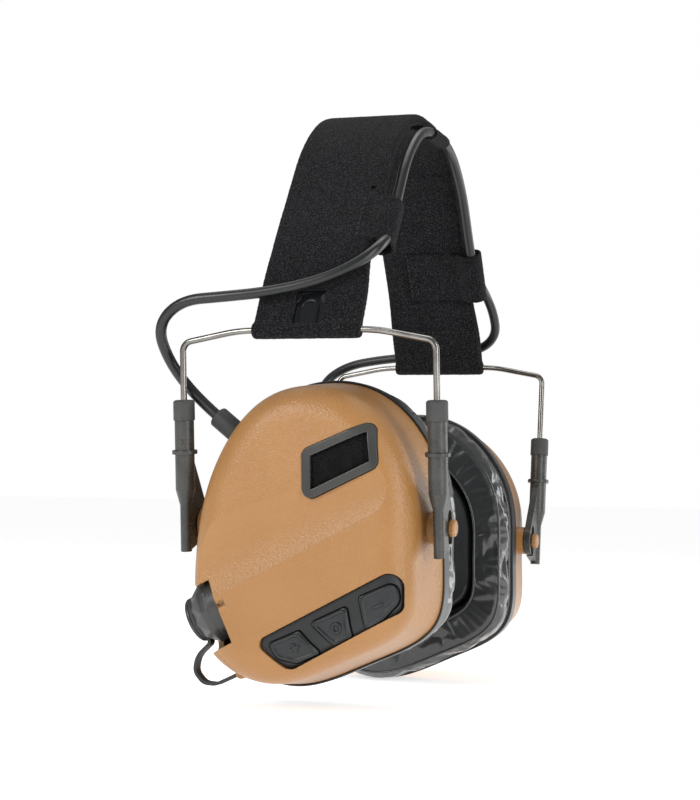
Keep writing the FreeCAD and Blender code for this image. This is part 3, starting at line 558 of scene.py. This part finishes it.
def folded_tab(name, profile, first, last):
    """A tab whose section is this (Y, height) line, between two distances along the strap."""
    line = smooth_line(name + "_line", [(0, y, height) for y, height in profile])
    mesh = bpy.data.meshes.new(name)
    places = []
    for row in range(POCKET_ROWS + 1):
        share = row / POCKET_ROWS
        for point in line:
            places.append((first + (last - first) * share, point.y, point.z))
    width = len(line)
    faces = []
    for row in range(POCKET_ROWS):
        for column in range(width - 1):
            corner = row * width + column
            faces.append((corner, corner + 1, corner + width + 1, corner + width))
    mesh.from_pydata(places, [], faces)
    tab = bpy.data.objects.new(name, mesh)
    scene.collection.objects.link(tab)
    wall = tab.modifiers.new("wall", "SOLIDIFY")
    wall.thickness = POCKET_WALL
    wall.offset = 0
    apply_modifiers(tab)
    one_skin(tab, 0.00042, 3)
    raise_nap(tab, 0.0003)
    over_head(tab)
    tab.data.materials.append(fleece)
    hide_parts(name)
    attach(tab, "headband")


SIDE_FOLD = [(-0.0120, 0.0008), (-0.0160, 0.0021), (-0.0225, 0.0024), (-0.0262, 0.0004), (-0.0268, -0.0040),
             (-0.0250, -0.0075), (-0.0205, -0.0078), (-0.0175, -0.0052), (-0.0150, -0.0034),
             (-0.0080, -0.0034), (0.0000, -0.0034), (0.0085, -0.0034)]
CREST_FOLD = [(-0.0150, -0.0030), (-0.0195, -0.0032), (-0.0245, -0.0036), (-0.0258, -0.0060),
              (-0.0235, -0.0080), (-0.0205, -0.0076), (-0.0180, -0.0040), (-0.0140, -0.0031)]
for side, (first, last) in SIDE_POCKETS.items():
    folded_tab(side + "_lead_wrap", SIDE_FOLD, first, last)
crest = ARCH_LENGTH / 2
folded_tab("crest_lead_wrap", CREST_FOLD, crest - CREST_HALF_LENGTH, crest + CREST_HALF_LENGTH)


# ------------------------------------------------------------------ thread
# Black polyester stitches hold the hems and close the pockets' edges. Each one is a short
# oval of thread that sinks a little into the fleece.

STITCH_LENGTH = 0.0016
STITCH_PITCH = 0.0024
HEM_STITCHES = 0.0026
LAP_STITCHES = 0.0190
ROW_REACH = 0.0205
WINDOW_REST = 0.0070
thread = moulded("thread", (0.016, 0.016, 0.018), (0.008, 0.008, 0.009), 0.7, 0.0003, 0.00004)
stitch_parts = []


def stitch_row(start, end, height):
    """Stitches from one (distance, Y) to another on the strap, at a height over its middle."""
    start, end = Vector(start), Vector(end)
    count = int((end - start).length / STITCH_PITCH)
    for number in range(count):
        place = start.lerp(end, (number + 0.5) / count)
        bpy.ops.mesh.primitive_ico_sphere_add(subdivisions=1, radius=0.5, location=(place.x, place.y, height))
        stitch = bpy.context.object
        stitch.scale = (STITCH_LENGTH, 0.0005, 0.0004)
        stitch.rotation_euler.z = math.atan2(end.y - start.y, end.x - start.x)
        stitch_parts.append(stitch)


for near_end in (False, True):
    hem = ARCH_LENGTH - HEM_STITCHES if near_end else HEM_STITCHES
    lap = ARCH_LENGTH - LAP_STITCHES if near_end else LAP_STITCHES
    stitch_row((hem, -ROW_REACH), (hem, -WINDOW_REST), 0.0027)
    stitch_row((hem, WINDOW_REST), (hem, ROW_REACH), 0.0027)
    stitch_row((hem, -ROW_REACH), (hem, ROW_REACH), -0.0024)
    stitch_row((lap, -ROW_REACH), (lap, ROW_REACH), -0.0033)
for first, last in SIDE_POCKETS.values():
    stitch_row((first + 0.001, -0.0135), (last - 0.001, -0.0135), 0.0034)
    stitch_row((first + 0.001, 0.0078), (last - 0.001, 0.0078), -0.0040)
stitching = join(stitch_parts)
stitching.name = "strap_stitching"
settle(stitching)
over_head(stitching)
bpy.ops.object.shade_smooth()
stitching.data.materials.append(thread)
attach(stitching, "headband")


# ------------------------------------------------------------------ clip tongues
# Through each window shows the end of the pressed clip: gloss black lacquer over steel,
# with a raised tongue that is rounded at its top.

TONGUE_HALF_WIDTH = 0.0033
TONGUE_STRAIGHT = 0.0076
TONGUE_LOW, TONGUE_HIGH = 0.0004, 0.0016
PLATE_LOW, PLATE_HIGH = 0.0003, 0.0008
PLATE_SPARE = 0.0002
EDGE_HEIGHT = 0.0013
EDGE_RADIUS = 0.00055
clip_lacquer = moulded("clip_lacquer", (0.006, 0.007, 0.008), (0.003, 0.003, 0.004), 0.20, 0.004, 0.00002)
clip_lacquer.node_tree.nodes["Principled BSDF"].inputs["Specular IOR Level"].default_value = 0.30
for side, middle, way in (("left", WINDOW_MIDDLE, 1), ("right", ARCH_LENGTH - WINDOW_MIDDLE, -1)):
    reach, half_width = WINDOW_REACH + PLATE_SPARE, WINDOW_HALF_WIDTH + PLATE_SPARE
    plate = flat_block(side + "_clip_plate", (middle - reach, -half_width, PLATE_LOW),
                       (middle + reach, half_width, PLATE_HIGH), 0.0002)
    root = middle - way * WINDOW_REACH
    neck = root + way * TONGUE_STRAIGHT
    tongue = flat_block("tongue", (min(root, neck), -TONGUE_HALF_WIDTH, TONGUE_LOW),
                        (max(root, neck), TONGUE_HALF_WIDTH, TONGUE_HIGH))
    bpy.ops.mesh.primitive_cylinder_add(vertices=64, radius=TONGUE_HALF_WIDTH, depth=TONGUE_HIGH - TONGUE_LOW,
                                        location=(neck, 0, (TONGUE_LOW + TONGUE_HIGH) / 2))
    tongue = join([tongue, settle(bpy.context.object)])
    one_skin(tongue, 0.00016, 4)
    around = [(root, -TONGUE_HALF_WIDTH, EDGE_HEIGHT)]
    for step in range(13):
        angle = math.pi * step / 12
        around.append((neck + way * TONGUE_HALF_WIDTH * math.sin(angle), -TONGUE_HALF_WIDTH * math.cos(angle),
                       EDGE_HEIGHT))
    around.append((root, TONGUE_HALF_WIDTH, EDGE_HEIGHT))
    plate = join([plate, tongue, round_bar("lip", around, EDGE_RADIUS)])
    over_head(plate)
    plate.data.materials.clear()
    plate.data.materials.append(clip_lacquer)
    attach(plate, "headband")


# ------------------------------------------------------------------ strip, rivets, clips and pad
# Inside the strap lie the spring strip, its rivets, the pressed clips round the crossbars
# and a thin foam pad. They are plain stock: blued steel, black steel and grey foam.

def steel(name, colour, dark, rough, streak, edge=0.0):
    """Drawn or rolled steel with fine streaks."""
    material, tree, shader = tree_of(name)
    place = sheen_noise(tree, shader, colour, dark, streak, rough, 0.08)[0]
    grain(tree, shader, place, streak / 3, 0.000012, edge)
    shader.inputs["Metallic"].default_value = 1.0
    return material


spring_steel = steel("spring_steel", (0.050, 0.050, 0.054), (0.030, 0.030, 0.034), 0.42, 0.0015)
finish_node("spring_strip", spring_steel)
finish_node("strip_rivets", spring_steel)
for side in ("right", "left"):
    finish_node(side + "_wire_clip", clip_lacquer)
pad_foam = moulded("pad_foam", (0.060, 0.060, 0.066), (0.030, 0.030, 0.034), 0.95, 0.0008, 0.0003)
finish_node("band_pad", pad_foam)


# ------------------------------------------------------------------ wire yokes
# Hard-drawn spring wire 2.4 mm thick, blackened and then polished by the sliding arms, so
# it mirrors bright and dark along its length.

wire_steel = steel("wire_steel", (0.27, 0.26, 0.24), (0.17, 0.16, 0.15), 0.20, 0.012)
for side in ("right", "left"):
    finish_node(side + "_wire_yoke", wire_steel)


# ------------------------------------------------------------------ arms and grip caps
# Glass-filled nylon arms, black with a fine sandy grain that is rubbed shiny. Soft matte
# rubber caps are pressed over their tops. The small screw head above each collar is not made.

arm_nylon = moulded("arm_nylon", (0.048, 0.048, 0.044), (0.030, 0.030, 0.027), 0.28,
                    0.00040, 0.00010, 0.0004, 0.006)
cap_rubber = moulded("cap_rubber", (0.052, 0.053, 0.051), (0.038, 0.039, 0.038), 0.62,
                     0.0004, 0.00012, 0.0003, 0.004)
for side in ("right", "left"):
    for end in ("front", "rear"):
        finish_node(side + "_" + end + "_arm", arm_nylon)
    finish_node(side + "_grip_caps", cap_rubber)


# ------------------------------------------------------------------ cup shells and pivot pins
# Tan moulded nylon with a spark-eroded texture: satin, slightly leathery, with a soft gloss
# where the light rakes it. The pins and the lug are moulded in the same colour.

shell, shell_tree, shell_shader = tree_of("shell_nylon")
shell_place = sheen_noise(shell_tree, shell_shader, (0.365, 0.178, 0.056), (0.340, 0.162, 0.049),
                          0.03, 0.31, 0.03)[0]
shell_grain = grain(shell_tree, shell_shader, shell_place, 0.00085, 0.00028, 0.0005)
shell_grain.inputs["Detail"].default_value = 2
for side in ("right", "left"):
    finish_node(side + "_cup_cover", shell)
    finish_node(side + "_pivot_pins", shell)


# ------------------------------------------------------------------ cup bases and what they hold
# Black inner cups, the ring that the cushion is welded to, and the electronics behind them:
# speakers, amplifier boards, screws, cells and contacts.

base_plastic = moulded("base_plastic", (0.018, 0.018, 0.019), (0.011, 0.011, 0.012), 0.30,
                       0.0005, 0.00003, 0.0003)
screw_steel = steel("screw_steel", (0.50, 0.50, 0.50), (0.34, 0.34, 0.35), 0.32, 0.001)
speaker_metal = steel("speaker_metal", (0.10, 0.10, 0.10), (0.06, 0.06, 0.06), 0.45, 0.002)
board_green = moulded("board_green", (0.020, 0.130, 0.055), (0.012, 0.085, 0.035), 0.38, 0.0012, 0.00004)
capsule_metal = steel("capsule_metal", (0.62, 0.62, 0.62), (0.48, 0.48, 0.48), 0.26, 0.0008)
cell_can = steel("cell_can", (0.56, 0.56, 0.57), (0.44, 0.44, 0.46), 0.24, 0.002)
contact_brass = steel("contact_brass", (0.72, 0.52, 0.26), (0.58, 0.40, 0.18), 0.28, 0.001)
for side in ("right", "left"):
    finish_node(side + "_cup_base", base_plastic)
    finish_node(side + "_cushion_plate", base_plastic)
    finish_node(side + "_cover_screws", screw_steel)
    finish_node(side + "_speaker", speaker_metal)
    finish_node(side + "_circuit_board", board_green)
    finish_node(side + "_mic_capsule", capsule_metal)
finish_node("key_board", board_green)
finish_node("battery_holder", base_plastic)
finish_node("batteries", cell_can)
finish_node("battery_contacts", contact_brass)


# ------------------------------------------------------------------ ear cushions
# A ring of foam in glossy black PVC skin, welded along its outer and inner edges. The
# panels between the welds swell, and short creases run in from the tight corners.

CUSHION_STEPS = 220
PANEL_STEPS = 9
SWELL_LIMIT = 0.0022
# Welted seams as (inset, share of the thickness, radius).
SEAMS = [(0.0024, 0.955, 0.00055), (0.0148, 1.0, 0.00055), (0.0008, 0.02, 0.0006)]
cushion_skin, skin_tree, skin_shader = tree_of("cushion_skin")
skin_place = sheen_noise(skin_tree, skin_shader, (0.032, 0.033, 0.034), (0.026, 0.027, 0.028),
                         0.015, 0.24, 0.02)[0]
grain(skin_tree, skin_shader, skin_place, 0.0012, 0.00005)
skin_shader.inputs["Coat Weight"].default_value = 0.60
skin_shader.inputs["Coat Roughness"].default_value = 0.12


def cup_outline(side, steps):
    """Places round the cup's rim, evenly by angle, found on the edge of its cushion plate."""
    plate = nodes[side + "_cushion_plate"]
    low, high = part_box(side + "_cushion_plate")
    middle = (Vector(low) + Vector(high)) / 2
    places = []
    for step in range(steps):
        angle = 2 * math.pi * step / steps
        away = Vector((0, math.cos(angle), math.sin(angle)))
        point = plate.ray_cast(middle + away * 0.2, -away)[1]
        places.append((away.y, away.z, (point - middle).length))
    return middle, places


def outline_ring(side, inset, depth):
    """The rim's outline drawn in by an inset, at an X place."""
    middle, places = OUTLINES[side]
    keep = 1 - inset / (sum(place[2] for place in places) / len(places))
    return [Vector((depth, middle.y + along_y * length * keep, middle.z + along_z * length * keep))
            for along_y, along_z, length in places]


OUTLINES = {side: cup_outline(side, CUSHION_STEPS) for side in ("right", "left")}
# Section of the cushion as (inset, share of its thickness) at the welds, from the plate's
# outer edge round the face to the inside of the opening.
WELDS = [(0.0010, 0.03), (-0.0004, 0.50), (0.0024, 0.94), (0.0150, 1.00), (0.0172, 0.50), (0.0165, 0.03)]


def cushion_section():
    """The section with its panels divided, and which of its points are welded."""
    points, welded = [], []
    for (inset_a, share_a), (inset_b, share_b) in zip(WELDS, WELDS[1:]):
        for step in range(PANEL_STEPS):
            part = step / PANEL_STEPS
            points.append((inset_a + (inset_b - inset_a) * part, share_a + (share_b - share_a) * part))
            welded.append(step == 0 and (inset_a, share_a) in (WELDS[0], WELDS[2], WELDS[3]))
    points.append(WELDS[-1])
    welded.append(True)
    return points, welded


def skin_of(name, rings, closed):
    """A skin over rings of places, which comes back on itself or is capped at its two ends."""
    faces = []
    for row in range(len(rings) if closed else len(rings) - 1):
        following = (row + 1) % len(rings)
        for step in range(CUSHION_STEPS):
            beside = (step + 1) % CUSHION_STEPS
            faces.append((row * CUSHION_STEPS + step, row * CUSHION_STEPS + beside,
                          following * CUSHION_STEPS + beside, following * CUSHION_STEPS + step))
    if not closed:
        faces.append(tuple(range(CUSHION_STEPS)))
        faces.append(tuple((len(rings) - 1) * CUSHION_STEPS + step for step in range(CUSHION_STEPS)))
    mesh = bpy.data.meshes.new(name)
    mesh.from_pydata([place for ring in rings for place in ring], [], faces)
    piece = bpy.data.objects.new(name, mesh)
    scene.collection.objects.link(piece)
    select_only(piece)
    bpy.ops.object.mode_set(mode="EDIT")
    bpy.ops.mesh.select_all(action="SELECT")
    bpy.ops.mesh.normals_make_consistent(inside=False)
    bpy.ops.object.mode_set(mode="OBJECT")
    return piece


for side, outward in (("right", -1), ("left", 1)):
    low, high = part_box(side + "_cushion")
    plate_x = low.x if outward < 0 else high.x
    face_x = high.x if outward < 0 else low.x
    section, welded = cushion_section()
    rings = [outline_ring(side, inset, plate_x + (face_x - plate_x) * share) for inset, share in section]
    pad = skin_of(side + "_ear_cushion", rings, True)
    held = pad.vertex_groups.new(name="welds")
    for row, is_welded in enumerate(welded):
        if is_welded:
            held.add(list(range(row * CUSHION_STEPS, (row + 1) * CUSHION_STEPS)), 1.0, "REPLACE")
    before = [vertex.co.copy() for vertex in pad.data.vertices]
    cloth = pad.modifiers.new("swell", "CLOTH")
    cloth.settings.quality = 6
    cloth.settings.mass = 0.15
    cloth.settings.tension_stiffness = 12
    cloth.settings.compression_stiffness = 12
    cloth.settings.bending_stiffness = 0.4
    cloth.settings.use_pressure = True
    cloth.settings.uniform_pressure_force = 5.0
    cloth.settings.vertex_group_mass = "welds"
    cloth.settings.shrink_min = -0.03
    cloth.settings.effector_weights.gravity = 0
    for number in range(1, 19):
        scene.frame_set(number)
    apply_modifiers(pad)
    scene.frame_set(1)
    for vertex, place in zip(pad.data.vertices, before):
        moved = vertex.co - place
        if moved.length > SWELL_LIMIT:
            vertex.co = place + moved.normalized() * SWELL_LIMIT
    smooth = pad.modifiers.new("smooth", "SUBSURF")
    smooth.levels = 1
    smooth.render_levels = 1
    apply_modifiers(pad)
    bpy.ops.object.shade_smooth()
    seams = []
    for inset, share, radius in SEAMS:
        seam_ring = outline_ring(side, inset, plate_x + (face_x - plate_x) * share)
        seams.append(round_bar("seam", seam_ring, radius, True, 3))
    pad = join([pad] + seams)
    pad.name = side + "_ear_cushion"
    pad.data.materials.clear()
    pad.data.materials.append(cushion_skin)
    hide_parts(side + "_cushion")
    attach(pad, side + "_cup")


# ------------------------------------------------------------------ base lips
# The black base has a thin upturned lip that wraps the shell's rim and is snapped over it.
# It shows as a dark band between the tan shell and the cushion.

LIP_HEIGHT = 0.0062
LIP_WALL = 0.0009
for side, outward in (("right", -1), ("left", 1)):
    low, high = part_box(side + "_cushion_plate")
    plate_x = low.x if outward < 0 else high.x
    root_x = plate_x + outward * 0.0002
    section = [(0.0004, 0.0), (-LIP_WALL, 0.0003), (-LIP_WALL, LIP_HEIGHT - 0.0003), (-0.0005, LIP_HEIGHT),
               (0.0002, LIP_HEIGHT - 0.0004), (0.0006, 0.0006)]
    rings = [outline_ring(side, inset, root_x + outward * height) for inset, height in section]
    lip = skin_of(side + "_base_lip", rings, True)
    bpy.ops.object.shade_smooth_by_angle(angle=math.radians(40))
    lip.data.materials.append(base_plastic)
    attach(lip, side + "_cup")


# ------------------------------------------------------------------ ear liners
# A dished foam liner with a thin skinned rim covers the speaker in each cup. Its rim
# catches the light just inside the cushion's opening.

LINER_RIM = [(0.0190, 0.0080), (0.0191, 0.0066), (0.0198, 0.0058), (0.0208, 0.0058), (0.0216, 0.0068)]
LINER_BOWL = [(0.0235, 0.12), (0.0265, 0.35), (0.0300, 0.65), (0.0335, 0.90), (0.0370, 1.00)]
liner_skin = moulded("liner_skin", (0.040, 0.042, 0.044), (0.028, 0.030, 0.032), 0.36, 0.0009, 0.00008)
for side, outward in (("right", -1), ("left", 1)):
    low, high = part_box(side + "_ear_foam")
    back_x = low.x if outward < 0 else high.x
    floor_x = (low.x + high.x) / 2
    low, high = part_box(side + "_cushion")
    face_x = high.x if outward < 0 else low.x
    rings = [outline_ring(side, LINER_RIM[0][0], back_x)]
    for inset, depth in LINER_RIM:
        rings.append(outline_ring(side, inset, face_x + outward * depth))
    rim_x = face_x + outward * LINER_RIM[-1][1]
    for inset, share in LINER_BOWL:
        rings.append(outline_ring(side, inset, rim_x + (floor_x - rim_x) * share))
    liner = skin_of(side + "_ear_liner", rings, False)
    bpy.ops.object.shade_smooth_by_angle(angle=math.radians(50))
    liner.data.materials.append(liner_skin)
    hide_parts(side + "_ear_foam")
    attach(liner, side + "_cup")


# ------------------------------------------------------------------ microphone windows
# A grey satin frame is let into each shell and clamps a piece of open-cell wind foam,
# whose coarse black cells stand a little below the frame.

bezel_plastic = moulded("bezel_plastic", (0.048, 0.048, 0.045), (0.032, 0.032, 0.030), 0.30,
                        0.0008, 0.00004, 0.0007)
wind_foam, foam_tree, foam_shader = tree_of("wind_foam")
foam_place = sheen_noise(foam_tree, foam_shader, (0.008, 0.008, 0.008), (0.004, 0.004, 0.004),
                         0.004, 0.9, 0.05)[0]
foam_cells = grain(foam_tree, foam_shader, foam_place, 0.0007, 0.0009)
foam_cells.inputs["Detail"].default_value = 1
foam_shader.inputs["Specular IOR Level"].default_value = 0.15


def node_copy(name, new_name):
    """A framed part's shape as a new piece, with its loose triangles joined."""
    piece = bpy.data.objects.new(new_name, nodes[name].data.copy())
    scene.collection.objects.link(piece)
    select_only(piece)
    piece.data.materials.clear()
    bpy.ops.object.mode_set(mode="EDIT")
    bpy.ops.mesh.select_all(action="SELECT")
    bpy.ops.mesh.remove_doubles(threshold=0.00001)
    bpy.ops.object.mode_set(mode="OBJECT")
    return piece


cell_texture = bpy.data.textures.new("cells", "CLOUDS")
cell_texture.noise_scale = 0.0009
cell_texture.noise_depth = 1
for side in ("right", "left"):
    finish_node(side + "_mic_bezel", bezel_plastic)
    foam = node_copy(side + "_mic_foam", side + "_wind_foam")
    one_skin(foam, 0.00026, 2)
    cells = foam.modifiers.new("cells", "DISPLACE")
    cells.texture = cell_texture
    cells.texture_coords = "LOCAL"
    cells.strength = 0.0009
    cells.mid_level = 0.65
    apply_modifiers(foam)
    foam.data.materials.append(wind_foam)
    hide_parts(side + "_mic_foam")
    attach(foam, side + "_cup")


# ------------------------------------------------------------------ keypad and keys
# One silicone mat let into the right shell, dull blue-black. The three keys are moulded
# proud of it, each with a thin raised border and a raised symbol that the thumb can feel.

silicone = moulded("keypad_silicone", (0.007, 0.008, 0.010), (0.005, 0.006, 0.007), 0.46,
                   0.0004, 0.00004, 0.0004)
key_silicone = moulded("key_silicone", (0.011, 0.013, 0.015), (0.008, 0.010, 0.011), 0.45, 0.0004, 0.00005)
PIN_PLACE = (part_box("right_pivot_pins")[0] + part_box("right_pivot_pins")[1]) / 2
KEY_SLANT = math.radians(27)
SYMBOL_LIFT = 0.0003
BAR_RADIUS = 0.00062
RING_RADIUS = 0.00058
# On the keys' faces lengths are in millimetres, forward and up from the pins.
RIM_INSET = 1.1
BAR_REACH = 1.8
RING_REACH = 1.6


def face_point(node, forward, height):
    """Point and outward direction on a right-cup part, from its (forward, up) place."""
    start = Vector((-0.2, -forward * 0.001, PIN_PLACE.z + height * 0.001))
    return nodes[node].ray_cast(start, Vector((1, 0, 0)))[1:3]


def drawn_in(outline, inset):
    """A key's outline drawn in towards its middle, with more points along its sides."""
    middle = sum((Vector(corner) for corner in outline), Vector((0, 0))) / len(outline)
    ring = []
    for corner_a, corner_b in zip(outline, outline[1:] + outline[:1]):
        for step in range(8):
            point = Vector(corner_a).lerp(Vector(corner_b), step / 8)
            away = point - middle
            ring.append(middle + away * ((away.length - inset) / away.length))
    for repeat in range(3):
        ring = [(ring[i - 1] + ring[i] * 2 + ring[(i + 1) % len(ring)]) / 4 for i in range(len(ring))]
    return ring


KEYS = {"plus": [(-9.9, -42.6), (1.9, -37.4), (10.0, -45.2), (1.0, -49.3), (-6.5, -47.8)],
        "mode": [(5.9, -34.6), (19.8, -28.1), (22.0, -38.9), (15.0, -42.5)],
        "minus": [(24.2, -24.7), (37.6, -18.9), (39.0, -26.0), (33.0, -33.0), (26.8, -36.3)]}
SYMBOL_PLACES = {"plus": (0.7, -43.7), "mode": (16.3, -36.0), "minus": (32.0, -27.6)}


def symbol_bar(node, middle, angle):
    """Raised bar on a key's top, at an angle to the wearer's level."""
    places = []
    for step in range(-4, 5):
        reach = BAR_REACH * step / 4
        point, normal = face_point(node, middle[0] + reach * math.cos(angle),
                                   middle[1] + reach * math.sin(angle))
        places.append(point + normal * SYMBOL_LIFT)
    return round_bar("bar", places, BAR_RADIUS, False, 2)


for name, outline in KEYS.items():
    node = name + "_key"
    key = node_copy(node, name + "_key_top")
    rim = []
    for point in drawn_in(outline, RIM_INSET):
        rim.append(face_point(node, point.x, point.y)[0])
    parts = [key, round_bar("rim", rim, BAR_RADIUS, True, 2)]
    spot = SYMBOL_PLACES[name]
    if name == "plus":
        parts.append(symbol_bar(node, spot, KEY_SLANT))
        parts.append(symbol_bar(node, spot, KEY_SLANT + math.pi / 2))
    if name == "minus":
        parts.append(symbol_bar(node, spot, KEY_SLANT))
    if name == "mode":
        circle = []
        for step in range(28):
            angle = 2 * math.pi * step / 28
            place, normal = face_point(node, spot[0] + RING_REACH * math.cos(angle),
                                       spot[1] + RING_REACH * math.sin(angle))
            circle.append(place + normal * SYMBOL_LIFT)
        parts.append(round_bar("circle", circle, RING_RADIUS, True, 2))
    key = join(parts)
    one_skin(key, 0.00022, 3)
    key.name = name + "_key_top"
    key.data.materials.clear()
    key.data.materials.append(key_silicone)
    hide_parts(node)
    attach(key, name + "_button")
finish_node("keypad", silicone)


# ------------------------------------------------------------------ battery cap
# A screw cap in black nylon with ten cut facets for grip. A groove behind its end disc
# holds the tether, and a seal sits under its skirt.

CAP_RADIUS = 0.0125
CAP_SIDES = 10
cap_nylon = moulded("cap_nylon", (0.036, 0.037, 0.036), (0.024, 0.025, 0.024), 0.30, 0.0005, 0.00005, 0.0003)
cap_axis = Vector((0, math.cos(math.radians(26)), -math.sin(math.radians(26))))
cap_middle = Vector((PIN_PLACE.x - 0.0116, PIN_PLACE.y + 0.0356, PIN_PLACE.z - 0.0322))
bpy.ops.mesh.primitive_cylinder_add(vertices=CAP_SIDES * 6, radius=CAP_RADIUS, depth=0.0040,
                                    location=(0, 0, -0.0036))
skirt = settle(bpy.context.object)
bpy.ops.mesh.primitive_cylinder_add(vertices=CAP_SIDES, radius=CAP_RADIUS, depth=0.0030,
                                    location=(0, 0, -0.0001))
grip = settle(bpy.context.object)
bpy.ops.object.mode_set(mode="EDIT")
bpy.ops.mesh.select_mode(type="FACE")
bpy.ops.mesh.select_all(action="DESELECT")
shape = bmesh.from_edit_mesh(grip.data)
for face in shape.faces:
    face.select = face.normal.z > 0.9
bmesh.update_edit_mesh(grip.data)
bpy.ops.mesh.extrude_region_move(TRANSFORM_OT_translate={"value": (0, 0, 0.0048)})
bpy.ops.transform.resize(value=(0.74, 0.74, 1), center_override=(0, 0, 0.0062))
bpy.ops.transform.rotate(value=math.pi / CAP_SIDES, orient_axis="Z", center_override=(0, 0, 0.0062))
bpy.ops.mesh.select_all(action="SELECT")
bpy.ops.mesh.quads_convert_to_tris(quad_method="SHORTEST_DIAGONAL")
bpy.ops.object.mode_set(mode="OBJECT")
ease_edges(grip, 0.00035, 2, 12)
ease_edges(skirt, 0.0003, 2)
bpy.ops.mesh.primitive_cylinder_add(vertices=48, radius=0.0066, depth=0.0024, location=(0, 0, 0.0070))
neck = settle(bpy.context.object)
bpy.ops.mesh.primitive_cylinder_add(vertices=64, radius=0.0086, depth=0.0014, location=(0, 0, 0.0085))
disc = ease_edges(settle(bpy.context.object), 0.0004, 3)
battery_knob = join([skirt, grip, neck, disc])
battery_knob.name = "battery_knob"
bpy.ops.object.shade_smooth_by_angle(angle=math.radians(22))
facing = cap_axis.to_track_quat("Z", "X").to_matrix().to_4x4()
battery_knob.data.transform(Matrix.Translation(cap_middle) @ facing)
battery_knob.data.materials.append(cap_nylon)
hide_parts("battery_cap")
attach(battery_knob, "battery_door")
finish_node("cap_seal", boot_rubber)
finish_node("cap_tether", boot_rubber)


# ------------------------------------------------------------------ sizes
# The finished model's box is measured, as the framed one's was. The finished model has to
# fill the same space as the framed one.

low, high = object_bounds()
